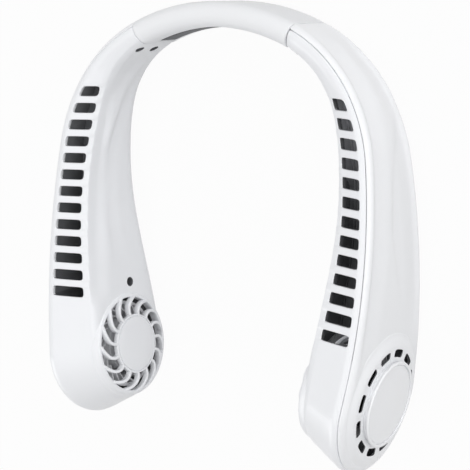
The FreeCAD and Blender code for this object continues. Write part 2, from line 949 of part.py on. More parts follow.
def make_rotor_magnet():
    return ring(
        "rotor_magnet", MAGNET_RADIUS, f"{MAGNET_RADIUS} - magnet_thickness", "magnet_length",
        f"{CAN_INSIDE} + magnet_setback",
    )


def make_motor_shaft():
    length = "rotor_wall + 2 * shaft_tail + bush_length"
    return group("motor_shaft", cylinder("shaft_rod", "shaft_radius", length, CAN_FRONT))


def make_stator_core():
    bore = "tube_radius + press_clearance"
    laminations = ring("laminations", STATOR_RADIUS, bore, "stator_length", STATOR_FRONT)
    notches = []
    for index in range(int(size("stator_slots"))):
        notch = bound(
            "Part::Box",
            f"notch_{index}",
            {
                "Length": STATOR_RADIUS,
                "Width": "stator_slot_width",
                "Height": "stator_length",
                "Placement.Base.x": "stator_core_radius",
                "Placement.Base.y": "-stator_slot_width / 2",
                "Placement.Base.z": STATOR_FRONT,
            },
        )
        turned = doc.addObject("Part::Compound", f"turned_notch_{index}")
        turned.Links = [notch]
        turned.Placement = Placement(Vector(), Rotation(UP, 360.0 * index / size("stator_slots")))
        notches.append(turned)
    return cut("stator_core", laminations, fuse("notches", *notches))


def make_stator_windings():
    outer, inner = f"{STATOR_RADIUS} - winding_margin", "tube_radius + winding_margin"
    front = ring("front_winding", outer, inner, "winding_height", f"{STATOR_FRONT} - winding_height")
    back = ring("back_winding", outer, inner, "winding_height", f"{STATOR_FRONT} + stator_length")
    return group("stator_windings", front, back)


def make_motor_base():
    plate = cylinder("base_plate", "base_radius", "base_thickness", BASE_FRONT)
    tube_length = f"{BASE_FRONT} - ({TUBE_FRONT}) + base_thickness / 2"
    tube = cylinder("base_tube", "tube_radius", tube_length, TUBE_FRONT)
    bore = cylinder("tube_bore", "bush_radius + press_clearance", "bush_length + 2 * shaft_tail", TUBE_FRONT)
    holes = around_base(
        "base_hole",
        [
            ("motor_screw_radius + screw_clearance", "2 * base_thickness", BASE_FRONT),
            ("motor_screw_head_radius + screw_clearance", "motor_screw_head_height", BASE_FRONT),
        ],
    )
    return cut("motor_base", fuse("base_body", plate, tube), fuse("base_holes", bore, *holes))


def around_base(name, steps):
    """Stepped round pieces at each screw place of the motor base."""
    items = []
    for index in range(int(size("base_screw_count"))):
        stack = []
        for step, (radius, height, base) in enumerate(steps):
            stack.append(cylinder(f"{name}_{index}_{step}", radius, height, base))
        item = fuse(f"{name}_{index}", *stack)
        turn = Rotation(UP, 360.0 * index / size("base_screw_count"))
        item.Placement = Placement(turn.multVec(Vector(size("base_screw_circle"), 0, 0)), turn)
        items.append(item)
    return items


def make_shaft_bush():
    return ring(
        "shaft_bush", "bush_radius", "shaft_radius + running_clearance", "bush_length",
        f"{TUBE_FRONT} + shaft_tail",
    )


def make_motor_screws():
    steps = [
        ("motor_screw_head_radius", "motor_screw_head_height", BASE_FRONT),
        (
            "motor_screw_radius",
            "motor_screw_length + motor_screw_head_height / 2",
            f"{BASE_FRONT} + motor_screw_head_height / 2",
        ),
    ]
    return group("motor_screws", *around_base("motor_screw", steps))


def make_case_screws():
    screws = []
    for index, (place, top, _) in enumerate(screw_frames()):
        seat = str(top - size("boss_floor"))
        head = cylinder(
            f"case_head_{index}", "case_screw_head_radius", "case_screw_head_height",
            f"{seat} - case_screw_head_height",
        )
        shank = cylinder(
            f"case_shank_{index}", "case_screw_radius",
            "case_screw_length + case_screw_head_height / 2", f"{seat} - case_screw_head_height / 2",
        )
        screw = fuse(f"case_screw_{index}", head, shank)
        screw.Placement = place
        screws.append(screw)
    return group("case_screws", *screws)


def make_medallion():
    disc = bound(
        "Part::Cone",
        "medallion_disc",
        {"Radius1": "medallion_radius", "Radius2": "medallion_top_radius", "Height": "medallion_height"},
    )
    dish = cylinder(
        "medallion_dish", "medallion_dish_radius", "medallion_height", "medallion_height - medallion_dish_depth"
    )
    pegs = []
    for side, sign in (("low", "-"), ("high", "")):
        peg = cylinder(
            f"medallion_peg_{side}", "medallion_peg_radius", "medallion_peg_length + medallion_height / 2",
            "-medallion_peg_length",
        )
        peg.setExpression("Placement.Base.y", f"{sign}sizes.medallion_peg_place")
        pegs.append(peg)
    return fuse("medallion", cut("dished_disc", disc, dish), *pegs)


def make_battery_cell():
    can = cylinder("cell_can", "cell_radius", "cell_length")
    tip = cylinder("cell_tip", "cell_tip_radius", "cell_length + cell_tip_length")
    return fuse("battery_cell", can, tip)


def make_spine_anchor():
    start = size("bridge_turn") + size("anchor_start")
    end = start + size("anchor_turn")
    clear = size("anchor_clearance")
    anchor = bridge_band(
        size("anchor_inset"), size("anchor_depth"), size("anchor_half_height"), start, end
    )
    way = bridge_band(
        size("spine_inset") - size("spine_thickness") / 2 - clear,
        size("spine_thickness") + 2 * clear,
        size("spine_half_height") + clear,
        0,
        end + size("anchor_turn"),
    )
    hole = Part.makeTorus(
        size("bridge_radius") - size("harness_inset"), size("harness_radius") + clear, bridge_axis
    )
    return arm_part("spine_anchor", drop_to_solid(anchor.cut([way, hole])))


# Panel pieces: Z out of the cover, X towards the bridge, Y up
PANEL = frame_at(outline_point(outer_outline, size("panel_turn")), size("panel_turn"), size("panel_level"))


def make_control_board():
    back = "-board_depth - board_thickness"
    return group("control_board", block("board_plate", "board_length", "board_width", "board_thickness", back))


def make_tact_switch():
    body = block("switch_body", "switch_side", "switch_side", "switch_height", "-board_depth")
    plunger = cylinder(
        "switch_plunger", "switch_plunger_radius", "switch_height + switch_plunger_height", "-board_depth"
    )
    return fuse("tact_switch", body, plunger)


def make_power_button():
    seat = "cover_wall + button_clearance"
    cap = pill("button_cap", "button_length", "button_width", f"{seat} + button_proud", f"-({seat})")
    flange = pill(
        "button_plate",
        "button_length + 2 * button_flange",
        "button_width + 2 * button_flange",
        "button_flange_thickness",
        f"-({seat} + button_flange_thickness)",
    )
    plunger_top = "board_depth - switch_height - switch_plunger_height"
    stem_foot = f"{plunger_top} - button_travel - press_clearance"
    stem = cylinder("button_stem", "button_stem_radius", f"{stem_foot} - ({seat})", f"-({stem_foot})")
    return fuse("power_button", cap, flange, stem)


def make_status_lights():
    lights = []
    for index in range(int(size("light_count"))):
        light = cylinder(f"light_{index}", "light_radius", "light_length", "-light_length")
        light.setExpression("Placement.Base.x", f"sizes.light_first + {index} * sizes.light_pitch")
        lights.append(light)
    return group("status_lights", *lights)


def socket_frame():
    """The mouth of the charging socket, in the lower edge of the arm, Z into the arm."""
    depth = size("board_depth") - size("socket_height") / 2
    middle = PANEL.multVec(Vector(size("socket_place"), 0, -depth))
    heading = size("panel_turn")
    across = outline_point(outer_outline, heading)
    width = (across - inner_point(across, heading)).Length
    edge = (half_depth(middle, "lower"), size("lower_face_drop"))
    corner = section_corners(width, edge, (0, 0, 0))[0]
    slope = edge_slope(width, size("lower_face_drop"))
    mouth = corner[1] - slope * (depth + size("socket_height") / 2)
    turn = Rotation(heading_vector(heading) * -1, normal_vector(heading), UP, "ZXY")
    return Placement(Vector(middle.x, middle.y, -mouth), turn)


def make_usb_socket():
    shell = block("socket_shell", "socket_width", "socket_height", "socket_depth", "0")
    mouth = block(
        "socket_mouth", "socket_width - 2 * socket_shell", "socket_height - 2 * socket_shell",
        "socket_depth - 2 * socket_shell", "0",
    )
    return cut("usb_socket", shell, mouth)


def pill_shape(length, width, height, base):
    """Solid with two round ends, for a hole in a cover."""
    half = (length - width) / 2
    slab = Part.makeBox(2 * half, width, height, Vector(-half, -width / 2, base))
    ends = [Part.makeCylinder(width / 2, height, Vector(side * half, 0, base)) for side in (-1, 1)]
    return slab.multiFuse(ends)


def left_cover_shape(cover):
    """The drawn cover with the posts, button opening and light holes of the control panel."""
    below = size("cover_wall") / 2
    posts = [
        placed(
            Part.makeCylinder(
                size("board_post_radius"),
                size("board_depth") - size("joint_gap") - below,
                Vector(side * size("board_post_place"), 0, size("joint_gap") - size("board_depth")),
            ),
            PANEL,
        )
        for side in (-1, 1)
    ]
    clear = 2 * size("button_clearance")
    depth = 3 * size("cover_wall")
    base = -2 * size("cover_wall")
    holes = [pill_shape(size("button_length") + clear, size("button_width") + clear, depth, base)]
    for index in range(int(size("light_count"))):
        spot = Vector(size("light_first") + index * size("light_pitch"), 0, -size("light_length"))
        radius = size("light_radius") + size("light_clearance")
        holes.append(Part.makeCylinder(radius, 2 * size("light_length"), spot))
    return drop_to_solid(cover.multiFuse(posts).cut([placed(hole, PANEL) for hole in holes]))


def left_shell_shape(shell):
    """The drawn inner shell with the opening for the charging socket."""
    clear = size("socket_clearance")
    length, width = size("socket_width") + 2 * clear, size("socket_height") + 2 * clear
    hole = Part.makeBox(length, width, 2 * size("socket_depth"))
    hole.translate(Vector(-length / 2, -width / 2, -size("socket_depth")))
    return drop_to_solid(shell.cut(placed(hole, socket_frame())))


def make_bridge_sleeve():
    """Flexible sleeve: the section of the arms turned about the bridge axis, with a channel inside."""
    back = Vector(0, size("bridge_back"), 0)
    front = Vector(0, size("bridge_back") - size("bridge_thickness"), 0)
    turn = size("bridge_turn") - math.degrees(size("sleeve_gap") / size("bridge_radius"))
    edges = [(size(f"bridge_{side}_depth"), size(f"{side}_face_drop")) for side in ("upper", "lower")]
    station = (back, front, edges, size("inner_edge_radius"))
    section = Part.Face(section_wire(station, (0, 0, 0), size("outer_edge_radius")))
    section.rotate(bridge_axis, UP, -turn)
    sleeve = section.revolve(bridge_axis, UP, 2 * turn)
    channel = bridge_band(
        size("channel_inset"),
        size("channel_depth"),
        size("channel_half_height"),
        -2 * size("bridge_turn"),
        2 * size("bridge_turn"),
    )
    pocket_turn = size("pad_turn") + math.degrees(size("pad_gap") / size("bridge_radius"))
    pocket = bridge_band(
        size("bridge_thickness") - size("pad_thickness"),
        2 * size("pad_thickness"),
        size("pad_half_height") + size("pad_gap"),
        -pocket_turn,
        pocket_turn,
    )
    pocket.translate(UP * size("pad_level"))
    return arm_part("bridge_sleeve", drop_to_solid(sleeve.cut([channel, pocket])))


def bridge_strip(name, outer, thickness, half_height, half_turn):
    """Strip bent about the bridge axis, starting at its right end."""
    body = cylinder(name + "_body", outer, f"2 * {half_height}", f"-{half_height}", f"2 * ({half_turn})")
    bore = cylinder(name + "_bore", f"{outer} - ({thickness})", f"2 * {half_height}", f"-{half_height}")
    return cut(name, body, bore)


def bridge_start(half_turn, level=0.0):
    return Placement(bridge_axis + UP * level, Rotation(UP, 90 - half_turn))


def make_wiring_harness():
    return bound(
        "Part::Torus",
        "wiring_harness",
        {
            "Radius1": "bridge_radius - harness_inset",
            "Radius2": "harness_radius",
            "Angle3": "2 * (bridge_turn + harness_reach)",
        },
    )


# Shells and covers
shell_shape = inner_shell_shape(arm_shape, cavity_shape)
cover_shape = outer_cover_shape(arm_shape)
keep("inner_shell_right", arm_part("inner_shell", shell_shape))
keep_left("inner_shell_left", arm_part("pierced_shell", left_shell_shape(shell_shape)))
keep("outer_cover_right", arm_part("outer_cover", cover_shape))
keep_left("outer_cover_left", arm_part("pierced_cover", left_cover_shape(cover_shape)))
keep_pair("air_duct", arm_part("air_duct", air_duct_shape()))

# Fans, motors and fasteners
for make in (
    make_impeller,
    make_rotor_can,
    make_rotor_magnet,
    make_motor_shaft,
    make_stator_core,
    make_stator_windings,
    make_motor_base,
    make_shaft_bush,
    make_motor_screws,
):
    keep_pair(make.__name__[len("make_"):], make(), FAN)
keep_pair("case_screws", make_case_screws())
medallion_seat = Placement(UP * (swell_top + size("medallion_seat_gap")), Rotation())
keep_pair("medallion", make_medallion(), FAN.multiply(medallion_seat))
cell_start = Placement(Vector(-size("cell_length") / 2, 0, 0), Rotation(Vector(0, 1, 0), 90))
keep_pair("battery_cell", make_battery_cell(), cell_frame().multiply(cell_start))
keep_pair("spine_anchor", make_spine_anchor())

# Control panel of the left arm
for make in (make_control_board, make_tact_switch, make_power_button, make_status_lights):
    keep_left(make.__name__[len("make_"):], make(), PANEL)
keep_left("usb_socket", make_usb_socket(), socket_frame())

# Bridge
keep("bridge_sleeve", make_bridge_sleeve())
spine_turn = size("bridge_turn") + size("spine_reach")
spine = bridge_strip(
    "spine_strip", "bridge_radius - spine_inset + spine_thickness / 2", "spine_thickness",
    "spine_half_height", "bridge_turn + spine_reach",
)
keep("spine_strip", spine, bridge_start(spine_turn))
keep("wiring_harness", make_wiring_harness(), bridge_start(size("bridge_turn") + size("harness_reach")))
pad = bridge_strip(
    "neck_pad", "bridge_radius - bridge_thickness + pad_thickness - pad_gap",
    "pad_thickness - pad_gap + pad_proud", "pad_half_height", "pad_turn",
)
keep("neck_pad", pad, bridge_start(size("pad_turn"), size("pad_level")))

doc.recompute()
whole = FreeCAD.BoundBox()
for item in parts.values():
    whole.add(item.Shape.optimalBoundingBox())
settle = Placement(Vector(0, -whole.Center.y, -whole.ZMin), Rotation())
sources = [item.Source if item.TypeId == "Part::Mirroring" else item for item in parts.values()]
for item in set(sources):
    item.Placement = settle.multiply(item.Placement)
doc.recompute()

faulty = [item.Name for item in doc.Objects if {"Invalid", "Error"} & set(item.State)]
faulty += [label for label, item in parts.items() if item.Shape.isNull() or not item.Shape.isValid()]
if faulty:
    raise RuntimeError("faulty objects: " + ", ".join(faulty))

os.makedirs("parts", exist_ok=True)
for label, item in parts.items():
    item.Shape.exportStep(f"parts/{label}.step")


def tell(name, place, point=Vector()):
    """Print a point and its Z direction in the frame of the finished part, right and left."""
    frame = settle.multiply(LIE).multiply(place)
    spot, axis = frame.multVec(point), frame.Rotation.multVec(UP)
    print(name, [round(value, 4) for value in (*spot, *axis)])


print("whole", whole)
tell("fan", FAN)
tell("panel", PANEL)
tell("socket", socket_frame())
bridge_middle = size("bridge_back") - size("bridge_thickness") / 2
tell("bridge", Placement(Vector(0, bridge_middle, 0), Rotation()))
print("fan width", fan_width, "swell top", swell_top)
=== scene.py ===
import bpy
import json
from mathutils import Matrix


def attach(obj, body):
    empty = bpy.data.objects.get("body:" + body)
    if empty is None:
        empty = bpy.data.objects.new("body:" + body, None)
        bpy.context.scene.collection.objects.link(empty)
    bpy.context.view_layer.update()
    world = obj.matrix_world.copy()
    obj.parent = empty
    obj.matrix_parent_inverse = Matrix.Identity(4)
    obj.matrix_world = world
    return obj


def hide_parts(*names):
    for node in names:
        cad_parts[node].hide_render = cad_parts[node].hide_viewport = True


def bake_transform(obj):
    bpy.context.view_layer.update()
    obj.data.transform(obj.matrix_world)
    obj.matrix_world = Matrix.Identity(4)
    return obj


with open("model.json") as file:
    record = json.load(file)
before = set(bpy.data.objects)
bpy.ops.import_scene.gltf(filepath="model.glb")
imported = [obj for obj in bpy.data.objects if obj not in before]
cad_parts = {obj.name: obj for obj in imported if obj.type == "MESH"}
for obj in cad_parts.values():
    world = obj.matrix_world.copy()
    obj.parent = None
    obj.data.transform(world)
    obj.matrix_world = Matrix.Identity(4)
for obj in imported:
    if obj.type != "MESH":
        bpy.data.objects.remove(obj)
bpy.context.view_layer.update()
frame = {"nodes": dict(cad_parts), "record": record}

import json
import math

import bmesh
import bpy
import numpy as np
from mathutils import Matrix, Vector

nodes = frame["nodes"]
print("frame loaded:", len(nodes), "nodes")


# materials are written as expressions: Val wraps a socket, and an operator adds a Math node
class Val:
    def __init__(self, look, socket):
        self.look, self.socket = look, socket

    def math(self, operation, *others):
        values = {place: value for place, value in enumerate((self,) + others)}
        return self.look.node("ShaderNodeMath", {"operation": operation}, values)

    def __add__(self, other):
        return self.math("ADD", other)

    def __sub__(self, other):
        return self.math("SUBTRACT", other)

    def __mul__(self, other):
        return self.math("MULTIPLY", other)

    def __rsub__(self, other):
        return self.look.node("ShaderNodeMath", {"operation": "SUBTRACT"}, {0: other, 1: self})

    __radd__ = __add__
    __rmul__ = __mul__

    def clamp(self, low, high):
        return self.math("MAXIMUM", low).math("MINIMUM", high)


class Look:
    def __init__(self, name):
        self.material = bpy.data.materials.new(name)
        self.material.use_nodes = True
        self.tree = self.material.node_tree
        self.shader = self.tree.nodes["Principled BSDF"]
        self.place = self.node("ShaderNodeTexCoord", out="Object")

    def node(self, kind, settings=None, sockets=None, out=0):
        item = self.tree.nodes.new(kind)
        for name, value in (settings or {}).items():
            setattr(item, name, value)
        for name, value in (sockets or {}).items():
            self.feed(item.inputs[name], value)
        return Val(self, item.outputs[out])

    def feed(self, socket, value):
        if isinstance(value, Val):
            self.tree.links.new(value.socket, socket)
        elif isinstance(value, tuple) and len(value) == 3 and len(socket.default_value) == 4:
            socket.default_value = (*value, 1)
        else:
            socket.default_value = value

    def set(self, **sockets):
        for name, value in sockets.items():
            self.feed(self.shader.inputs[name.replace("_", " ")], value)

    def noise(self, scale, detail=2.0, roughness=0.5, place=None):
        sockets = {"Vector": place or self.place, "Scale": scale, "Detail": detail, "Roughness": roughness}
        return self.node("ShaderNodeTexNoise", None, sockets)

    def mix(self, amount, first, second):
        sockets = {0: amount, 6: first, 7: second}
        return self.node("ShaderNodeMix", {"data_type": "RGBA"}, sockets, out=2)

    def stretched(self, factors):
        return self.node("ShaderNodeVectorMath", {"operation": "MULTIPLY"}, {0: self.place, 1: factors})

    def axis(self, letter):
        return self.node("ShaderNodeSeparateXYZ", None, {0: self.place}, out=letter)

    def spread(self, value, source, target):
        # maps the source range to the target range
        return self.node("ShaderNodeMapRange", None, dict(enumerate((value, *source, *target))))

    def bump(self, height, distance, strength=1.0):
        sockets = {"Height": height, "Distance": distance, "Strength": strength}
        self.set(Normal=self.node("ShaderNodeBump", None, sockets))


plasticForm = {
    "flow": 38, "grain": 2600, "speck": 900, "flowPolish": 0.10, "speckPolish": 0.02, "coatRoughness": 0.12,
}
rubberForm = {"cloud": 60, "skin": 1900, "skinShare": 0.4, "skinPolish": 0.18, "sheen": 0.08}
metalForm = {"lines": 1400, "cloud": 220, "lineShare": 0.5, "linePolish": 0.22, "brushDepth": 0.00002}


def mouldedPlastic(name, colour, tint, roughness, grain, gloss=0.0):
    # moulded plastic: cloudy flow marks in the colour, uneven polish and a fine spark-eroded grain
    look = Look(name)
    p = plasticForm
    flow = look.noise(p["flow"], 3)
    fine = look.noise(p["grain"], 2, 0.6)
    speck = look.noise(p["speck"], 1)
    polish = roughness + (flow - 0.5) * p["flowPolish"] + (speck - 0.5) * p["speckPolish"]
    look.set(Base_Color=look.mix(flow, colour, tint), Roughness=polish.clamp(0.05, 1.0))
    look.set(Coat_Weight=gloss, Coat_Roughness=p["coatRoughness"], Specular_IOR_Level=0.5)
    look.bump(fine, grain)
    return look


def softRubber(name, colour, tint, roughness, grain):
    # silicone: even dull colour with a fine peach-skin grain and a faint sheen
    look = Look(name)
    r = rubberForm
    cloud = look.noise(r["cloud"], 3)
    skin = look.noise(r["skin"], 3, 0.7)
    look.set(Base_Color=look.mix(cloud * (1 - r["skinShare"]) + skin * r["skinShare"], colour, tint))
    look.set(Roughness=(roughness + (skin - 0.5) * r["skinPolish"]).clamp(0.1, 1.0))
    look.set(Sheen_Weight=r["sheen"], Sheen_Roughness=0.5, Specular_IOR_Level=0.4)
    look.bump(skin, grain)
    return look


def drawnMetal(name, colour, tint, roughness, brush):
    # metal with brushing lines and cloudy plating
    look = Look(name)
    m = metalForm
    lines = look.noise(m["lines"], 2, 0.6, look.stretched(brush))
    cloud = look.noise(m["cloud"], 3)
    look.set(Base_Color=look.mix(cloud * (1 - m["lineShare"]) + lines * m["lineShare"], colour, tint))
    look.set(Metallic=1.0, Roughness=(roughness + (lines - 0.5) * m["linePolish"]).clamp(0.08, 0.9))
    look.bump(lines, m["brushDepth"])
    return look


plasticColours = {
    "shell": ((0.858, 0.868, 0.890), (0.838, 0.849, 0.873)),
    # painted light: the cover's and the medallion's white is the shell's white made a little lighter, so the
    # outer faces read brighter
    "cover": ((0.888, 0.897, 0.914), (0.872, 0.881, 0.900)),
    "medallion": ((0.896, 0.904, 0.920), (0.880, 0.889, 0.906)),
    "sleeve": ((0.850, 0.858, 0.874), (0.825, 0.834, 0.852)),
}
# name, colour, tint, roughness; then the grain's depth and a plastic's gloss, or how a metal is brushed
looks = {
    "shell": mouldedPlastic("whiteShell", *plasticColours["shell"], 0.34, 0.000012, 0.15),
    "cover": mouldedPlastic("whiteCoverPaintedLight", *plasticColours["cover"], 0.32, 0.000012, 0.15),
    "medallion": mouldedPlastic("medallionPaintedLight", *plasticColours["medallion"], 0.34, 0.000005, 0.12),
    "sleeve": softRubber("siliconeSleeve", *plasticColours["sleeve"], 0.52, 0.000020),
    "pad": softRubber("slateRubber", (0.050, 0.054, 0.062), (0.036, 0.040, 0.047), 0.62, 0.00004),
    # painted shade: the inside faces of shells, covers and swells are painted dark, though the real inside is
    # the same white plastic
    "lining": mouldedPlastic("paintedShadeInsideLook", (0.16, 0.165, 0.175), (0.13, 0.135, 0.145), 0.6, 0.00002),
    "grey": mouldedPlastic("greyImpeller", (0.74, 0.745, 0.765), (0.68, 0.685, 0.705), 0.5, 0.00003),
    # painted shade: the white walls of the slots and vents are painted dark grey, and their inner end walls
    # near black
    "slotWall": mouldedPlastic("slotWall", (0.20, 0.205, 0.215), (0.16, 0.165, 0.175), 0.55, 0.00002),
    "slotShade": mouldedPlastic("slotShade", (0.045, 0.046, 0.050), (0.035, 0.036, 0.040), 0.6, 0.00002),
    # painted shade: the screw wells of the white shell are painted near black, as the shade inside the holes
    "hole": mouldedPlastic("screwWellPaintedShade", (0.085, 0.088, 0.094), (0.06, 0.062, 0.067), 0.6, 0.00002),
    "dark": mouldedPlastic("darkPlastic", (0.022, 0.023, 0.026), (0.015, 0.016, 0.018), 0.5, 0.00003),
    "button": mouldedPlastic("buttonPlastic", (0.79, 0.796, 0.81), (0.77, 0.776, 0.79), 0.24, 0.000008, 0.3),
    "wire": softRubber("wireJacket", (0.020, 0.020, 0.022), (0.030, 0.030, 0.033), 0.55, 0.00002),
    "wrap": mouldedPlastic("cellWrap", (0.03, 0.09, 0.24), (0.025, 0.075, 0.20), 0.3, 0.00002, 0.3),
    "rotor": drawnMetal("rotorSteel", (0.50, 0.50, 0.51), (0.42, 0.42, 0.43), 0.36, (1, 1, 0.04)),
    "shaft": drawnMetal("shaftSteel", (0.62, 0.62, 0.63), (0.55, 0.55, 0.56), 0.22, (0.05, 1, 1)),
    "stator": drawnMetal("statorSteel", (0.24, 0.24, 0.25), (0.18, 0.18, 0.19), 0.5, (0.05, 1, 1)),
    "copper": drawnMetal("copperWire", (0.66, 0.30, 0.14), (0.52, 0.22, 0.10), 0.34, (0.05, 1, 1)),
    "bush": drawnMetal("bushBronze", (0.62, 0.46, 0.22), (0.50, 0.36, 0.17), 0.4, (1, 1, 1)),
    "screw": drawnMetal("screwSteel", (0.30, 0.30, 0.31), (0.22, 0.22, 0.23), 0.38, (1, 1, 1)),
    "socket": drawnMetal("socketSteel", (0.60, 0.60, 0.62), (0.52, 0.52, 0.54), 0.28, (1, 0.05, 1)),
    "spine": drawnMetal("spineSteel", (0.46, 0.47, 0.50), (0.38, 0.39, 0.42), 0.3, (1, 0.05, 1)),
}


def ferriteLook():
    look = Look("ferrite")
    grit = look.noise(1500, 4, 0.7)
    look.set(Base_Color=look.mix(grit, (0.035, 0.035, 0.038), (0.07, 0.07, 0.075)))
    look.set(Roughness=(0.6 + (grit - 0.5) * 0.3).clamp(0.2, 1.0), Metallic=0.4)
    look.bump(grit, 0.00004)
    return look


def laminateLook():
    # green board: a glass weave under a cloudy mask
    look = Look("boardLaminate")
    weave = look.node("ShaderNodeTexBrick", None, {"Vector": look.place, "Scale": 900.0}, out="Fac")
    cloud = look.noise(300, 3)
    look.set(Base_Color=look.mix(weave * 0.3 + cloud * 0.5, (0.016, 0.095, 0.045), (0.03, 0.14, 0.07)))
    look.set(Roughness=(0.3 + (cloud - 0.5) * 0.2).clamp(0.1, 0.8))
    look.bump(weave, 0.00001)
    return look


# painted light: the duct's dark plastic is painted greyer towards the bridge and on the right arm
ductForm = {
    "fade": (0.004, 0.062), "arms": (-0.01, 0.01), "paintedDaylight": (0.16, 0.86), "cloud": 0.12,
    "dark": (0.165, 0.169, 0.180), "light": (0.74, 0.745, 0.77),
}


def ductLook():
    # dark channel plastic, with painted light: greyer towards the bridge where daylight reaches the first
    # slots, most on the right arm
    look = Look("ductPlasticPaintedLight")
    cloud = look.noise(160, 3)
    lift = look.spread(look.axis("Y"), ductForm["fade"], (0.0, 1.0))
    paintedDaylight = look.spread(look.axis("X"), ductForm["arms"], ductForm["paintedDaylight"])
    shade = (lift * paintedDaylight + (cloud - 0.5) * ductForm["cloud"]).clamp(0.0, 1.0)
    look.set(Base_Color=look.mix(shade, ductForm["dark"], ductForm["light"]))
    look.set(Roughness=(0.5 + (cloud - 0.5) * 0.2).clamp(0.2, 0.9))
    look.bump(look.noise(2200, 2), 0.00003)
    return look


def lightLook():
    look = Look("lightPipe")
    cloud = look.noise(700, 2)
    look.set(Base_Color=look.mix(cloud, (0.66, 0.72, 0.80), (0.58, 0.66, 0.76)))
    look.set(Roughness=(0.2 + (cloud - 0.5) * 0.1).clamp(0.05, 0.6), Transmission_Weight=0.3)
    look.bump(cloud, 0.00001)
    return look


looks.update(magnet=ferriteLook(), board=laminateLook(), duct=ductLook(), light=lightLook())
print("materials made:", len(looks))


# the arm's form: the same numbers as the CAD source, in millimetres and degrees
armForm = {
    "bridgeBack": 90.0, "bridgeThickness": 11.3, "bridgeRadius": 106.0, "bridgeTurn": 24.0,
    "outerShoulder": (71.5, 58.0), "outerSide": 326.0,
    "innerShoulder": (43.0, 52.0), "innerSide": 148.0,
    "slotShoulder": (41.3, 48.0), "slotSide": 167.1, "slotLineInset": 6.4,
    "toe": 8.5, "fanReach": 12.0, "tail": 90.0,
    "upperDepth": 12.7, "lowerDepth": 18.8, "upperHollow": 1.8, "lowerHollow": 2.6,
    "upperDrop": 7.2, "lowerDrop": 8.4, "endDrop": 10.8, "endShare": 0.25, "steepest": 0.58,
    "endRadius": 33.7, "outerRounding": 4.6, "innerRounding": 5.6, "endRounding": 8.0,
    "stations": 420, "arcSteps": 40,
}
form = armForm
fanHeading = 90 + form["toe"]
record = frame["record"]
joints = {joint["name"]: joint for joint in record["behaviour"]["joints"]}
hinge = joints["bridge_flex"]
lean = math.atan2(hinge["axis"][1], hinge["axis"][2])      # how far the arms lean down to the floor
hingeAt = np.array(hinge["pos_m"])
hingeInArm = form["bridgeBack"] - form["bridgeThickness"] / 2


def turned(vector):
    x, y, z = vector
    return Vector((x, y * math.cos(lean) + z * math.sin(lean), z * math.cos(lean) - y * math.sin(lean)))


def toFrame(points, side=1):
    # arm millimetres to metres in the row frame; side -1 is the left arm
    points = np.asarray(points, float).reshape(-1, 3)
    across, back, up = points[:, 0] * side, points[:, 1] - hingeInArm, points[:, 2]
    moved = np.column_stack((
        across,
        back * math.cos(lean) + up * math.sin(lean),
        up * math.cos(lean) - back * math.sin(lean),
    ))
    return moved / 1000 + hingeAt


def ahead(heading):
    angle = np.radians(heading)
    return np.stack((np.cos(angle), -np.sin(angle)), -1)


def outward(heading):
    angle = np.radians(heading)
    return np.stack((np.sin(angle), np.cos(angle)), -1)


def outline(start, arcs, tail, turnFrom=0.0, count=900):
    # points and headings of a plan outline made of arcs and a straight tail
    lengths = [radius * math.radians(turn) for radius, turn in arcs] + [tail]
    points, headings = [], []
    spot, heading = np.array([0.0, start]), 0.0
    for (radius, turn), length in zip(arcs, lengths):
        steps = np.linspace(0, turn, max(8, int(count * length / sum(lengths))))
        points.append(spot + (outward(heading + steps) - outward(heading)) * radius)
        headings.append(heading + steps)
        spot, heading = points[-1][-1], heading + turn
    steps = np.linspace(0, tail, max(8, int(count * tail / sum(lengths))))
    points.append(spot + ahead(heading) * steps[:, None])
    headings.append(np.full(len(steps), heading))
    points, headings = np.concatenate(points), np.concatenate(headings)
    keep = headings >= turnFrom - 1e-6
    return points[keep], headings[keep]


def armOutline(thickness, shoulder, side, tail, turnFrom=0.0):
    arcs = [(form["bridgeRadius"] - thickness, form["bridgeTurn"]), shoulder]
    arcs.append((side, fanHeading - form["bridgeTurn"] - shoulder[1]))
    return outline(form["bridgeBack"] - thickness, arcs, tail, turnFrom)


def pathLengths(path):
    return np.concatenate(([0], np.cumsum(np.linalg.norm(np.diff(path, axis=0), axis=1))))


outerPoints, outerHeadings = armOutline(
    0.0, form["outerShoulder"], form["outerSide"], form["fanReach"], form["bridgeTurn"])
innerPoints, _ = armOutline(form["bridgeThickness"], form["innerShoulder"], form["innerSide"], form["tail"])
slotPoints, _ = armOutline(form["slotLineInset"], form["slotShoulder"], form["slotSide"], form["tail"])
runs = pathLengths(outerPoints)
evenRuns = np.linspace(0, runs[-1], form["stations"])
stationPoints = np.column_stack([np.interp(evenRuns, runs, outerPoints[:, axis]) for axis in (0, 1)])
stationHeadings = np.interp(evenRuns, runs, outerHeadings)
stationOut = outward(stationHeadings)


def depthTo(curve):
    # how far in from each station the curve lies
    depths = []
    for point, heading, out in zip(stationPoints, stationHeadings, stationOut):
        offset = curve - point
        beside, inward = offset @ ahead(heading), -(offset @ out)
        crossings = np.where(beside[:-1] * beside[1:] <= 0)[0]
        share = beside[crossings] / (beside[crossings] - beside[crossings + 1] + 1e-12)
        found = inward[crossings] + (inward[crossings + 1] - inward[crossings]) * share
        depths.append(min(depth for depth in found if depth > 0))
    return np.array(depths)


stationWidth = depthTo(innerPoints)
slotDepth = depthTo(slotPoints)
fanPoint, fanOut, fanWidth = stationPoints[-1], stationOut[-1], stationWidth[-1]
fanInside = fanPoint - fanOut * fanWidth
fanAhead = ahead(fanHeading)
stationShare = (stationPoints[:, 1] - fanPoint[1]) / (stationPoints[0, 1] - fanPoint[1])
nearEnd = np.maximum(0, 1 - stationShare / form["endShare"]) ** 2


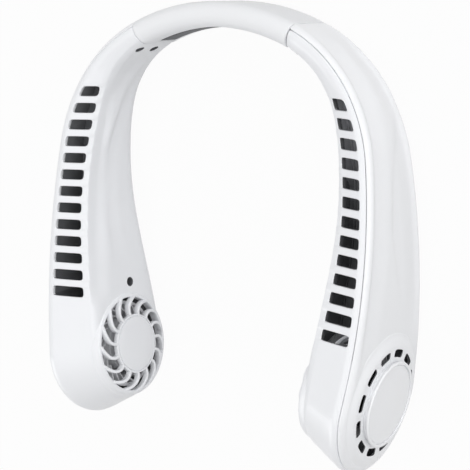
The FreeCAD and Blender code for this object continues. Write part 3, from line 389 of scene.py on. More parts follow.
def edgeTable(depth, hollow, drop):
    bend = 4 * hollow * stationShare * (1 - stationShare)
    crest = form["endRadius"] - (form["endRadius"] - depth) * stationShare - bend
    return crest, drop + (form["endDrop"] - drop) * nearEnd


edges = {
    1: edgeTable(form["upperDepth"], form["upperHollow"], form["upperDrop"]),
    -1: edgeTable(form["lowerDepth"], form["lowerHollow"], form["lowerDrop"]),
}
stationRounding = form["innerRounding"] + (form["endRounding"] - form["innerRounding"]) * nearEnd


def halfSection(width, crest, drop, inRound):
    # half a section as a fine path: outer face, rounded edge, sloping face, rounded edge, inner face
    outRound, steps = form["outerRounding"], form["arcSteps"]
    slope = min(drop / width, form["steepest"])
    stretch = math.sqrt(1 + slope ** 2)
    sharp = crest + slope * outRound + outRound * (stretch - 1)
    tip = math.atan(slope)
    outCentre = np.array([outRound, crest - outRound])
    inCentre = np.array([width - inRound, sharp - slope * width - inRound * (stretch - slope)])
    # the slope's normal leans towards the inner side, so the arcs meet it at pi/2 - tip
    sweepOut = np.linspace(math.pi, math.pi / 2 - tip, steps)
    sweepIn = np.linspace(math.pi / 2 - tip, 0, steps)
    outArc = outCentre + outRound * np.column_stack((np.cos(sweepOut), np.sin(sweepOut)))
    inArc = inCentre + inRound * np.column_stack((np.cos(sweepIn), np.sin(sweepIn)))
    return np.vstack(([(0, 0)], outArc, inArc, [(width, 0)]))


outEnd, inEnd = form["arcSteps"], 2 * form["arcSteps"]     # where the rounded edges of a half section end
rising = slice(1, inEnd + 1)                               # where the distance in keeps growing


def columnsBetween(path, keys, counts):
    # points along a path at key lengths, with even steps between them
    wanted = [keys[0]]
    for start, end, count in zip(keys, keys[1:], counts):
        wanted += list(np.linspace(start, end, count + 1)[1:])
    lengths = pathLengths(path)
    return np.column_stack([np.interp(wanted, lengths, path[:, axis]) for axis in (0, 1)])


def ramp(value, start, end):
    share = np.clip((value - start) / (end - start), 0, 1)
    return share * share * (3 - 2 * share)


def between(value, run):
    # one inside a run and nought outside it, with soft ends
    return ramp(value, run[0], run[1]) * (1 - ramp(value, run[2], run[3]))


# a run gives four places: where something starts, is full, starts to fade and is gone
shellForm = {
    "seam": 2.185, "thickness": 2.2, "counts": (4, 1, 1, 3, 1, 1, 1, 1, 1, 1, 6, 8), "creases": (0.1, 0.2),
    "slotFirst": 48.2, "slotPitch": 7.92, "slotHeight": 4.5, "slotCount": 13, "slotOuter": 5.3,
    "lip": 0.9, "lipShare": 0.35, "outLip": 0.45, "cornerShare": 0.36, "slotMargin": 0.6, "endWall": 0.55,
    "scoopDepth": 0.55, "scoopShares": (0.7, 0.9, 0.7, 0.3),
    "ledge": 3.1, "ledgeShare": 0.62, "ledgeEdge": 0.4, "faceMargin": 2.0,
    "coveWall": (0.25, 0.7), "coveFoot": (0.45, 3.3), "coveReach": 13.4, "coveRun": (-60, -46, 50, 62),
    "deepen": 1.7, "deepenLean": 0.15, "deepenRun": (-38, -14, 34, 50),
    "crease": ((60, -9), (50, -5.7), (36, -1.6), (19.5, 3.4),
               (0, 5.4), (-17, 6.1), (-34, 3.8), (-48, -4)),
    "creaseHeight": 1.0, "creaseLeast": 0.3, "creaseGrow": (4, 30), "creaseWidth": 3.8,
    "creaseRun": (-46, -14, 54, 68),
    "faceEdge": 1.5, "aboveShare": 0.62, "fieldRise": 0.7, "fieldReach": 9.0, "fieldEnd": (0.85, 0.5),
    "rowCounts": (12, 13), "endRows": 40, "opening": 19.0, "openingDepth": 6.0,
}
coverForm = {
    "seam": 2.13, "thickness": 1.9, "counts": (6, 16), "creases": (0.3, 0.0), "faceEdge": 1.4,
    "bead": 2.0, "valley": 1.3, "valleyFlank": 3.8, "valleyFade": 11.8, "valleyRun": (-66, -38, 66, 84),
    "crease": ((60, -26), (44, -15.8), (29, -4.6), (13, 0.5),
               (-6, 2.3), (-26, -2.6), (-45, -11.7), (-58, -20)),
    "creaseHeight": 0.75, "creaseWidth": 3.4, "creaseFade": 15.0, "creaseRun": (-56, -14, 46, 64),
    "panelBack": (-1.0, 5.0, 32.0, 38.0), "panelUp": (-17.5, -11.5, -1.5, 4.5),
    "rowCounts": (16, 10), "rowStep": 2.0, "endRows": 40, "openingMargin": 9.0,
}
rowForm = {"slotGap": 2.4, "squareRun": (-68, -52, 54, 72)}


def sectionPath(index, side):
    crest, drop = edges[side][0][index], edges[side][1][index]
    path = halfSection(stationWidth[index], crest, drop, stationRounding[index])
    return path, pathLengths(path)


def shellColumns(index, side):
    s = shellForm
    path, lengths = sectionPath(index, side)
    width, slotIn, slotOut = stationWidth[index], slotDepth[index], s["slotOuter"]
    ledge = slotIn + min(s["ledge"], s["ledgeShare"] * (width - slotIn))
    inside = min(s["lip"], s["lipShare"] * (slotIn - slotOut))
    ends = (s["seam"], slotOut - s["outLip"], slotOut, slotOut + inside,
            slotIn - inside, slotIn, slotIn + s["outLip"], ledge)
    keys = [np.interp(end, path[rising, 0], lengths[rising]) for end in ends]
    edge = keys.pop()
    edgeLevel = np.interp(edge, lengths, path[:, 1])
    face = lengths[inEnd] + max(s["faceMargin"], path[inEnd, 1] - edgeLevel + s["coveReach"])
    face = min(face, lengths[-1] - s["faceMargin"])
    keys += [edge - s["ledgeEdge"], edge, edge + s["coveWall"][1], edge + s["coveFoot"][1], face, lengths[-1]]
    columns = columnsBetween(path, keys, s["counts"])
    return coved(columns, stationPoints[index, 1], width) if side > 0 else columns


def coved(columns, y, width):
    # below the slots' ledge the section drops in a short wall and swells out again to the inner face
    s = shellForm
    start, steps = sum(s["counts"][:8]), s["counts"][10]
    edge, end = columns[start], columns[start + 2 + steps]
    deepen = s["deepen"] * between(y, s["deepenRun"])
    foot = edge + np.array(s["coveFoot"]) * (1, -1) - (s["deepenLean"] * deepen, deepen)
    shaped = columns.copy()
    shaped[start + 1] = edge + np.array(s["coveWall"]) * (1, -1)
    shaped[start + 2] = foot
    for step in range(1, steps):
        share = step / steps
        inward = foot[0] + (width - foot[0]) * ramp(share, 0, 1)
        shaped[start + 2 + step] = (inward, foot[1] + (end[1] - foot[1]) * share)
    return columns + (shaped - columns) * between(y, s["coveRun"])


def coverColumns(index, side):
    path, lengths = sectionPath(index, side)
    seam = np.interp(coverForm["seam"], path[rising, 0], lengths[rising])
    return columnsBetween(path, [seam, lengths[1], 0.0], coverForm["counts"])


def sectionTable(columns):
    # distance in and level of every column at every station, from the upper seam to the lower seam
    table = []
    for index in range(form["stations"]):
        upper, lower = columns(index, 1), columns(index, -1)
        table.append(np.vstack((upper, (lower * (1, -1))[-2::-1])))
    return np.array(table)


def creaseLevel(crease, y):
    places = sorted(crease)
    return np.interp(y, [place[0] for place in places], [place[1] for place in places])


def spaceTable(table):
    inward = table[:, :, 0]
    plan = stationPoints[:, None, :] - stationOut[:, None, :] * inward[:, :, None]
    return np.dstack((plan, table[:, :, 1]))


def sculptShell(table):
    # the inner face swells towards a curved crease, steps back there and swells again below it
    s = shellForm
    space = spaceTable(table)
    y, z = space[:, :, 1], space[:, :, 2]
    upper, lower, width = edges[1][0][:, None], edges[-1][0][:, None], stationWidth[:, None]
    onFace = ramp(table[:, :, 0], width - s["faceEdge"], width)
    above = z - creaseLevel(s["crease"], y)
    half = s["creaseWidth"] / 2
    brow = ramp(above, -half, half) * (1 - ramp(above, half, upper * s["aboveShare"]))
    brow = brow * s["creaseHeight"] * (s["creaseLeast"] + (1 - s["creaseLeast"]) * ramp(y, *s["creaseGrow"]))
    field = ramp(-above, half, half + s["fieldReach"]) * s["fieldRise"]
    field = field * ramp(z, -lower * s["fieldEnd"][0], -lower * s["fieldEnd"][1])
    table = table.copy()
    table[:, :, 0] += (brow + field) * between(y, s["creaseRun"]) * onFace
    return table


def sculptCover(table, panel):
    # a bead beside the seam, a valley below it, and a step along the crease of the outer face
    c = coverForm
    space = spaceTable(table)
    y, z = space[:, :, 1], space[:, :, 2]
    onFace = 1 - ramp(table[:, :, 0], 0.0, c["faceEdge"])
    if panel:                                  # the button's field stays plain
        onFace = onFace * (1 - between(y, c["panelBack"]) * between(z, c["panelUp"]))
    flank, half = c["valleyFlank"], c["creaseWidth"] / 2
    dip = np.zeros_like(z)
    for side in (1, -1):
        below = edges[side][0][:, None] - form["outerRounding"] + c["bead"] - z * side
        dip += ramp(below, 0, flank) * (1 - ramp(below, flank, flank + c["valleyFade"]))
    below = creaseLevel(c["crease"], y) - z
    step = ramp(below, -half, half) * (1 - ramp(below, half, half + c["creaseFade"]))
    dip = dip * c["valley"] * between(y, c["valleyRun"])
    step = step * c["creaseHeight"] * between(y, c["creaseRun"])
    table = table.copy()
    table[:, :, 0] += (dip + step) * onFace
    return table


def armRows(slots):
    # rows along the arm: a place, and its slot if the row is in one
    s = shellForm
    half = s["slotHeight"] / 2
    before, behind = (shellForm if slots else coverForm)["rowCounts"]
    firstRow = s["slotFirst"] + half + s["lip"] + rowForm["slotGap"]
    rows = [(place, None) for place in np.linspace(stationPoints[0, 1], firstRow, before)]
    for slot in range(s["slotCount"]):
        middle = s["slotFirst"] - slot * s["slotPitch"]
        if slots:
            inside = half - s["lip"]
            rows.append((middle + half + s["outLip"], None))
            rows += [(middle + step, slot) for step in (half, inside, 0, -inside, -half)]
            rows.append((middle - half - s["outLip"], None))
        else:
            rows += [(middle + coverForm["rowStep"], None), (middle - coverForm["rowStep"], None)]
    rows += [(place, None) for place in np.linspace(rows[-1][0], fanPoint[1], behind)[1:]]
    return rows


def armSurface(table, endRows, holes=None):
    # vertices and faces of a right-hand skin: rows along the arm and a turned round end
    space = spaceTable(table)
    count = table.shape[1]
    middle = count // 2
    rows = armRows(bool(holes))
    indices = np.arange(form["stations"])
    verts, faces = [], []
    for place, _ in rows:
        square = between(place, rowForm["squareRun"])      # how far the row lies square to Y
        straight = np.interp(-place, -stationPoints[:, 1], indices)
        for column in range(count):
            level = np.interp(-place, -space[:, column, 1], indices)
            at = straight * (1 - square) + level * square
            verts.append([np.interp(at, indices, space[:, column, axis]) for axis in range(3)])
    for row in range(len(rows) - 1):
        inSlot = holes and rows[row][1] is not None and rows[row][1] == rows[row + 1][1]
        for column in range(count - 1):
            if not (inSlot and column in holes):
                start = row * count + column
                faces.append((start, start + 1, start + count + 1, start + count))
    if holes:
        scoopRows(verts, rows, count, holes)
        roundSlots(verts, rows, count, holes)
    last = (len(rows) - 1) * count
    rings = [list(range(last, last + middle + 1))]
    for turn in np.linspace(0, math.pi, endRows + 1)[1:-1]:
        ring = []
        for column in range(middle):
            inward, radius = table[-1, column]
            spot = fanPoint - fanOut * inward + fanAhead * radius * math.sin(turn)
            ring.append(len(verts))
            verts.append([spot[0], spot[1], radius * math.cos(turn)])
        rings.append(ring + [last + middle])
    rings.append([last + count - 1 - column for column in range(middle + 1)])
    for ring, following in zip(rings, rings[1:]):
        for column in range(middle):
            face = [ring[column], ring[column + 1], following[column + 1], following[column]]
            faces.append(tuple(dict.fromkeys(face)))
    verts = np.array(verts)
    return verts, flipIfInward(verts, faces)


def scoopRows(verts, rows, count, holes):
    # each slot runs out in a shallow scoop over the inner edge
    first = max(holes) + 1
    for row, (_, slot) in enumerate(rows):
        for step, share in enumerate(shellForm["scoopShares"] if slot is not None else ()):
            verts[row * count + first + step][2] -= shellForm["scoopDepth"] * share


def roundSlots(verts, rows, count, holes):
    # pulls the four corners of each slot towards its middle
    left, right = min(holes), max(holes) + 1
    for row in range(1, len(rows) - 1):
        before, slot, behind = (rows[row + step][1] for step in (-1, 0, 1))
        if slot is None or before == slot == behind:
            continue
        step = 1 if before != slot else -1
        for column, inner in ((left, left + 1), (right, right - 1)):
            corner = np.array(verts[row * count + column])
            inside = np.array(verts[(row + step) * count + inner])
            verts[row * count + column] = list(corner + (inside - corner) * shellForm["cornerShare"])


def flipIfInward(verts, faces, sample=200):
    # the skin's faces should look away from the arm's middle, which its last faces show
    middle = np.array([*(fanPoint - fanOut * fanWidth / 2), 0.0])
    votes = 0.0
    for face in faces[-sample:]:
        a, b, c = (verts[corner] for corner in face[:3])
        votes += np.dot(np.cross(b - a, c - a), a - middle)
    return [tuple(reversed(face)) for face in faces] if votes < 0 else faces


def openFan(verts, faces, radius, depth=math.inf):
    # leaves out the skin within a radius of the fan axis, down to a depth from the inner face
    offset = verts[:, :2] - fanInside
    reach, deep = np.hypot(offset @ fanAhead, verts[:, 2]), offset @ fanOut
    return [face for face in faces if max(reach[list(face)]) > radius or max(deep[list(face)]) > depth]


# making meshes
def newPiece(name, verts, faces, *finishes):
    mesh = bpy.data.meshes.new(name)
    mesh.from_pydata([tuple(vert) for vert in verts], [], faces)
    mesh.update()
    piece = bpy.data.objects.new(name, mesh)
    bpy.context.scene.collection.objects.link(piece)
    for finish in finishes:
        mesh.materials.append(looks[finish].material)
    mesh.polygons.foreach_set("use_smooth", [True] * len(mesh.polygons))
    return piece


def tidyNormals(piece, sharp=None, weld=False):
    # faces look outwards, and edges over an angle are sharp
    solid = bmesh.new()
    solid.from_mesh(piece.data)
    if weld:
        bmesh.ops.remove_doubles(solid, verts=solid.verts, dist=1e-7)
    bmesh.ops.recalc_face_normals(solid, faces=solid.faces)
    solid.to_mesh(piece.data)
    solid.free()
    if sharp:
        piece.data.set_sharp_from_angle(angle=math.radians(sharp))
    return piece


def smoothed(piece):
    smooth = piece.modifiers.new("smooth", "SUBSURF")
    smooth.levels = smooth.render_levels = 1


def thicken(piece, thickness, rimFinish, creases, even=True):
    # a wall inwards from the skin, its inside faces painted dark as painted shade, smoothed once
    wall = piece.modifiers.new("wall", "SOLIDIFY")
    wall.thickness, wall.offset, wall.use_even_offset = thickness / 1000, -1, even
    # inside faces take the painted inside shade; rim faces take the rim finish
    wall.material_offset, wall.material_offset_rim = 1, rimFinish
    wall.edge_crease_outer, wall.edge_crease_inner = creases
    smoothed(piece)


def freeze(piece, sharp=None):
    # applies the modifiers of a piece to its mesh
    graph = bpy.context.evaluated_depsgraph_get()
    graph.update()
    mesh = bpy.data.meshes.new_from_object(piece.evaluated_get(graph))
    old = piece.data
    piece.modifiers.clear()
    piece.data = mesh
    mesh.name = piece.name
    bpy.data.meshes.remove(old)
    mesh.polygons.foreach_set("use_smooth", [True] * len(mesh.polygons))
    if sharp:
        mesh.set_sharp_from_angle(angle=math.radians(sharp))
    return piece


def joinPieces(name, pieces):
    # one object from several, keeping each one's materials
    with bpy.context.temp_override(active_object=pieces[0], selected_editable_objects=pieces):
        bpy.ops.object.join()
    pieces[0].name = name
    pieces[0].data.name = name
    return pieces[0]


def cutAway(piece, cutters, sharp=38):
    tool = tidyNormals(joinPieces("cutter", cutters) if len(cutters) > 1 else cutters[0])
    modifier = piece.modifiers.new("cut", "BOOLEAN")
    modifier.object, modifier.operation, modifier.solver = tool, "DIFFERENCE", "EXACT"
    freeze(piece, sharp)
    bpy.data.objects.remove(tool)


def loopStack(loops, capped=True):
    # faces between loops of equal length, closed at both ends if capped
    count = len(loops[0])
    verts = [vert for loop in loops for vert in loop]
    faces = []
    for low in range(0, len(verts) - count, count):
        for step in range(count):
            after = (step + 1) % count
            faces.append((low + step, low + after, low + count + after, low + count + step))
    if capped:
        faces += [tuple(range(count)), tuple(range(len(verts) - count, len(verts)))]
    return verts, faces


def circleLoop(radius, steps=16, middle=0.0):
    turns = [2 * math.pi * step / steps for step in range(steps)]
    return [(middle + radius * math.cos(turn), radius * math.sin(turn)) for turn in turns]


def pillLoop(length, width, steps=10):
    half, radius = (length - width) / 2, width / 2
    loop = []
    for end, begin in ((1, -90), (-1, 90)):
        for step in range(steps + 1):
            angle = math.radians(begin + 180 * step / steps)
            loop.append((half * end + radius * math.cos(angle), radius * math.sin(angle)))
    return loop


def roundedLoop(halfX, halfY, rounding, steps):
    # a rectangle with rounded corners
    loop = []
    for cornerX, cornerY, begin in ((1, -1, 270), (1, 1, 0), (-1, 1, 90), (-1, -1, 180)):
        for step in range(steps + 1):
            angle = math.radians(begin + 90 * step / steps)
            loop.append(((halfX - rounding) * cornerX + rounding * math.cos(angle),
                         (halfY - rounding) * cornerY + rounding * math.sin(angle)))
    return loop


def fanSpot(radius, angle, level):
    # a point by radius and angle about the fan axis; angle 0 points back to the bridge, 90 up; level is out
    angle = np.radians(angle)
    plan = fanInside - fanAhead * (radius * np.cos(angle)) + fanOut * level
    return [plan[0], plan[1], radius * np.sin(angle)]


def latheMesh(profile, segments=120):
    # a profile of (radius, level) turned about the fan axis; a zero radius closes it with a point
    verts, rings = [], []
    for radius, level in profile:
        steps = segments if radius else 1
        rings.append([len(verts) + step % steps for step in range(segments)])
        verts += [fanSpot(radius, 360 * step / segments, level) for step in range(steps)]
    faces = []
    for ring, following in zip(rings, rings[1:]):
        for step in range(segments):
            after = (step + 1) % segments
            face = tuple(dict.fromkeys((ring[step], ring[after], following[after], following[step])))
            if len(face) > 2:
                faces.append(face)
    return verts, faces


def sided(verts, faces, side):
    return toFrame(verts, side), [tuple(reversed(face)) for face in faces] if side < 0 else faces


def fanDrill(radius, levels, side, segments=96):
    loops = [[fanSpot(radius, 360 * step / segments, level) for step in range(segments)] for level in levels]
    return newPiece("cutter", *sided(*loopStack(loops), side))


# inner shells: a slotted tray with its grille and the wells of the case screws
screwForm = {
    "radius": 1.92, "lip": 0.35, "tube": 3.0, "fanReach": 30.0, "fanLevel": -5.0, "drill": (-4.0, 3.2),
    "bridgeTurn": 29.5, "bridgeLevel": 5.2, "topShare": 0.55, "floor": 1.6, "segments": 24, "sharp": 40,
}


def frameAt(place, heading, level):
    # a spot on the inner face: its point, the way out of the arm, the way back to the bridge
    return np.array([*place, level]), np.array([*outward(heading), 0.0]), np.array([*(-ahead(heading)), 0.0])


def screwSpots():
    s = screwForm
    spots = [(frameAt(fanInside - fanAhead * s["fanReach"], fanHeading, s["fanLevel"]), fanWidth)]
    index = int(np.argmin(np.abs(stationHeadings - s["bridgeTurn"])))
    width = stationWidth[index]
    inside = stationPoints[index] - stationOut[index] * width
    for sign in (1, -1):
        spots.append((frameAt(inside, stationHeadings[index], sign * s["bridgeLevel"]), width))
    return spots


def turnedMesh(spot, profile, capped=True):
    # a profile of (radius, level) turned about the way out of a spot
    origin, out, back = spot
    up = np.array([0.0, 0.0, 1.0])
    loops = []
    for radius, level in profile:
        circle = circleLoop(radius, screwForm["segments"])
        loops.append([origin + out * level + back * x + up * y for x, y in circle])
    return loopStack(loops, capped)


def makeBoss(spot, width, side):
    s = screwForm
    radius, tube, floor = s["radius"], s["tube"], s["topShare"] * width - s["floor"]
    profile = [
        (tube, 1.2), (tube, 0.5), (radius + s["lip"] + 0.02, -0.02), (radius + 0.12, 0.1), (radius, 0.35),
        (radius, floor), (tube, floor), (tube, 1.2),
    ]
    # the boss takes the painted shade of the screw wells
    return tidyNormals(newPiece("boss", *sided(*turnedMesh(spot, profile, False), side), "hole"), s["sharp"])


socketForm = {"width": 9.44, "height": 3.66, "rounding": 1.5, "depth": 9.0, "cornerSteps": 6}
socketMouth = next(mount for mount in record["mounts"] if mount["name"] == "usb_c_port")
pressInto = Vector(joints["button_press"]["axis"]).normalized()


def socketLoops(sections):
    # sections, as a shape and a level, along the way out of the charging socket
    centre, outside = Vector(socketMouth["pos_m"]), Vector(socketMouth["axis"]).normalized()
    thick = (pressInto - outside * pressInto.dot(outside)).normalized()
    along = outside.cross(thick).normalized()
    return [[centre + (along * x + thick * y + outside * level) / 1000 for x, y in shape]
            for shape, level in sections]


def socketCutter():
    # a rounded box through the lower edge of the left arm
    s = socketForm
    shape = roundedLoop(s["width"] / 2, s["height"] / 2, s["rounding"], s["cornerSteps"])
    return newPiece("cutter", *loopStack(socketLoops([(shape, -s["depth"]), (shape, s["depth"])])))


grilleForm = {
    "rim": 23.0, "disc": 14.5, "rise": 3.5, "rimRise": 0.9, "foot": 25.4, "hole": 24.0, "drill": (-6.0, 9.0),
    "domeShare": 0.993, "groove": 13.5, "grooveDepth": 0.5, "sharp": 50, "fins": 15, "finPhase": 6.2,
    "finWidth": 1.45, "finDepth": 2.9, "finRound": 0.4, "finCornerSteps": 3, "finEnds": (0.8, 0.3),
    "sweep": -19.5, "bow": 0.15, "steps": 14,
}


def domeLevel(radius):
    # the dome's outside: level with the rim's rise at the rim, flat at the disc
    g = grilleForm
    share = np.clip((radius - g["disc"]) / (g["rim"] - g["disc"]), 0, 1)
    return -(g["rimRise"] + (g["rise"] - g["rimRise"]) * math.sqrt(1 - g["domeShare"] * share ** 2))


def finLoops(phase):
    # sections of a fin from the disc to the rim, along a parabola through its ends and its bowed middle
    g = grilleForm
    span, bend, half = g["rim"] - g["disc"], 2 - 4 * g["bow"], g["finDepth"] / 2
    shape = roundedLoop(g["finWidth"] / 2, half, g["finRound"], g["finCornerSteps"])
    loops = []
    for radius in np.linspace(g["disc"] - g["finEnds"][0], g["rim"] + g["finEnds"][1], g["steps"]):
        share = (radius - g["disc"]) / span
        angle = phase + g["sweep"] * (share * (1 - bend) + share ** 2 * bend)
        slip = math.radians(g["sweep"] * (1 - bend + 2 * bend * share)) / span
        tilt = math.atan(slip * radius)            # how far the fin leans from the radius
        loop = []
        for across, level in shape:
            turn = angle + math.degrees(across * math.cos(tilt) / radius)
            loop.append(fanSpot(radius - across * math.sin(tilt), turn, domeLevel(radius) + half + level))
        loops.append(loop)
    return loops


def grillePieces(side):
    g = grilleForm
    disc, groove, rim, foot = g["disc"], g["groove"], g["rim"], g["foot"]
    top = -g["rise"]
    bottom = top + g["grooveDepth"]
    discProfile = [
        (0, top), (6, top), (groove - 0.4, top), (groove - 0.22, top + 0.05), (groove - 0.14, bottom),
        (groove + 0.14, bottom), (groove + 0.2, top + 0.05), (groove + 0.34, top), (disc - 0.2, top + 0.03),
        (disc - 0.05, top + 0.16), (disc, top + 0.5), (disc + 0.05, top + 1.6), (disc - 0.1, top + 2.4),
        (disc - 0.7, top + 2.6), (0, top + 2.6),
    ]
    rimProfile = [
        (foot + 0.6, 3.4), (foot + 0.35, 1.9), (foot, 0.7), (foot - 0.5, -0.2), (foot - 1.1, -0.65),
        (foot - 1.7, -0.86), (rim + 0.25, -0.92), (rim, -0.78), (rim - 0.12, -0.5), (rim - 0.1, 1.5),
        (rim, 3.6), (foot + 0.6, 3.4),
    ]
    verts, faces = [], []
    for fin in range(g["fins"]):
        finVerts, finFaces = loopStack(finLoops(g["finPhase"] + fin * 360 / g["fins"]))
        faces += [tuple(corner + len(verts) for corner in face) for face in finFaces]
        verts += finVerts
    meshes = {"disc": latheMesh(discProfile), "rim": latheMesh(rimProfile), "fins": (verts, faces)}
    pieces = []
    for name, mesh in meshes.items():
        piece = newPiece(name, *sided(*mesh, side), "shell")
        pieces.append(tidyNormals(piece, g["sharp"], weld=name != "fins"))
    return pieces


slotColumns = range(sum(shellForm["counts"][:2]), sum(shellForm["counts"][:5]))
shellTable = sculptShell(sectionTable(shellColumns))
shellVerts, shellFaces = armSurface(shellTable, shellForm["endRows"], slotColumns)
shellFaces = openFan(shellVerts, shellFaces, shellForm["opening"], shellForm["openingDepth"])


shellFinishes = {"shell": 0, "lining": 1, "slotWall": 2, "slotShade": 3}


def placePaintedSlotShade(shell, side):
    # rim faces keep the painted wall shade only in the slots; the outer end wall that catches the light stays
    # white, and the inner end wall gets the darker painted shade
    s = shellForm
    reach = s["slotMargin"] * s["slotPitch"]
    first = s["slotFirst"] + reach
    last = s["slotFirst"] - (s["slotCount"] - 1) * s["slotPitch"] - reach
    high, low = (toFrame([[0, place, 0]])[0][1] for place in (first, last))
    for face in shell.data.polygons:
        if face.material_index == shellFinishes["slotWall"]:
            facing = face.normal.x * side
            inSlots = low < face.center.y < high and face.center.z > hingeAt[2]
            if not inSlots or facing < -s["endWall"]:
                face.material_index = shellFinishes["shell"]
            elif facing > s["endWall"]:
                face.material_index = shellFinishes["slotShade"]


def makeShell(side, name, body):
    shell = newPiece(name, *sided(shellVerts, shellFaces, side), *shellFinishes)
    thicken(shell, shellForm["thickness"], shellFinishes["slotWall"], shellForm["creases"])
    freeze(shell)
    placePaintedSlotShade(shell, side)
    cutters = [fanDrill(grilleForm["hole"], grilleForm["drill"], side)]
    extras = grillePieces(side)
    mouth = screwForm["radius"] + screwForm["lip"]
    for spot, width in screwSpots():
        drill = turnedMesh(spot, [(mouth, level) for level in screwForm["drill"]])
        cutters.append(newPiece("cutter", *sided(*drill, side)))
        extras.append(makeBoss(spot, width, side))
    if side < 0:
        cutters.append(socketCutter())
    cutAway(shell, cutters)
    shell = joinPieces(name, [shell] + extras)
    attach(shell, body)
    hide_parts("inner_shell_right" if side > 0 else "inner_shell_left")
    return shell


arms = ((1, "Right", "right_arm", "right"), (-1, "Left", "left_arm", "left"))
for side, word, body, suffix in arms:
    made = makeShell(side, "innerShell" + word, body)
    print("shell made:", made.name, len(made.data.polygons), "faces")


# outer covers: a sculpted skin, and the raised field over the fan with its vents
swellForm = {
    "height": 1.6, "foot": 30.8, "footDrop": 0.32, "skirt": (0.3, 0.7), "shoulder": 24.9, "rings": 9,
    "ventOut": 24.1, "ventIn": 20.6, "lip": 0.25, "plate": 20.2, "plateSteps": (4, 12),
    "vents": 12, "ventTurn": 20.5, "ventPhase": 15.0, "ventSteps": 5, "gapSteps": 4, "ventEdge": 0.7,
    "thickness": 0.7, "creases": (0.4, 0.0), "sharp": 50, "hole": 26.6, "drill": (-6.0, 4.0),
}
plainCover = sectionTable(coverColumns)


def swellRings():
    s = swellForm
    rings = [(s["foot"] + s["skirt"][0], -s["footDrop"] - s["skirt"][1])]
    for step in range(s["rings"] + 1):
        share = step / s["rings"]
        level = (s["height"] + s["footDrop"]) * ramp(share, 0, 1) - s["footDrop"]
        rings.append((s["foot"] + (s["shoulder"] - s["foot"]) * share, level))
    flat = [s["ventOut"] + s["lip"], s["ventOut"], s["ventIn"], s["ventIn"] - s["lip"]]
    flat += [s["plate"] - step for step in s["plateSteps"]]
    return rings + [(radius, s["height"]) for radius in flat]


def makeSwell(side):
    s = swellForm
    rings = swellRings()
    pitch, edge = 360 / s["vents"], s["ventEdge"]
    angles, vented = [], []
    for vent in range(s["vents"]):
        start = s["ventPhase"] + vent * pitch - s["ventTurn"] / 2
        end = start + s["ventTurn"]
        angles += list(np.linspace(start, end, s["ventSteps"] + 1))
        angles += list(np.linspace(end + edge, start + pitch - edge, s["gapSteps"] - 1))
        vented += [True] * s["ventSteps"] + [False] * s["gapSteps"]
    count = len(angles)
    loops = [[fanSpot(radius, angle, fanWidth + level) for angle in angles] for radius, level in rings]
    verts, faces = loopStack(loops, capped=False)
    ventRow = rings.index((s["ventOut"], s["height"]))
    faces = [face for index, face in enumerate(faces)
             if index // count != ventRow or not vented[index % count]]
    faces.append(tuple(range(len(verts) - count, len(verts))))
    swell = newPiece("swell", *sided(verts, faces, side), "cover", "lining", "slotWall")
    if sum(face.normal.x * side * face.area for face in swell.data.polygons) < 0:
        swell.data.flip_normals()
    # the vents' rim faces take the painted wall shade
    thicken(swell, s["thickness"], rimFinish=2, creases=s["creases"], even=False)
    return freeze(swell, s["sharp"])


buttonForm = {
    "length": 11.6, "width": 6.6, "lights": (-9.0, -11.6, -14.2), "lightRadius": 0.88, "drill": (-6.0, 4.0),
    "heading": 82.4, "level": -6.5,
}


def panelLoops(sections):
    # sections, as a shape and a level, about the middle of the button's face: x is back, y up, level out
    heading = buttonForm["heading"]
    index = int(np.argmin(np.abs(stationHeadings - heading)))
    spot = Vector(toFrame([[*stationPoints[index], buttonForm["level"]]], -1)[0])
    forward, out, up = ahead(heading), -pressInto, turned((0, 0, 1))
    up = (up - out * up.dot(out)).normalized()
    back = turned((float(forward[0]), -float(forward[1]), 0))
    back = (back - out * back.dot(out) - up * back.dot(up)).normalized()
    return [[spot + (back * x + up * y + out * level) / 1000 for x, y in shape] for shape, level in sections]


def panelCutters():
    b = buttonForm
    shapes = [pillLoop(b["length"], b["width"])]
    shapes += [circleLoop(b["lightRadius"], middle=place) for place in b["lights"]]
    cutters = []
    for shape in shapes:
        cutters.append(newPiece("cutter", *loopStack(panelLoops([(shape, level) for level in b["drill"]]))))
    return cutters


def makeCover(side, name, body):
    verts, faces = armSurface(sculptCover(plainCover, side < 0), coverForm["endRows"])
    faces = openFan(verts, faces, swellForm["hole"] - coverForm["openingMargin"])
    cover = newPiece(name, *sided(verts, faces, side), "cover", "lining")
    thicken(cover, coverForm["thickness"], rimFinish=0, creases=coverForm["creases"])
    freeze(cover)
    cutters = [fanDrill(swellForm["hole"], [fanWidth + level for level in swellForm["drill"]], side)]
    cutAway(cover, cutters + panelCutters() if side < 0 else cutters)
    cover = joinPieces(name, [cover, makeSwell(side)])
    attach(cover, body)
    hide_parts("outer_cover_right" if side > 0 else "outer_cover_left")
    return cover


for side, word, body, suffix in arms:
    made = makeCover(side, "outerCover" + word, body)
    print("cover made:", made.name, len(made.data.polygons), "faces")


# medallions: a plain dished disc on an undercut wall, with a fine ring
medallionForm = {
    "base": 1.65, "height": 2.85, "foot": 18.3, "top": 19.0, "dish": 17.9, "dishDepth": 0.5, "sharp": 55,
}


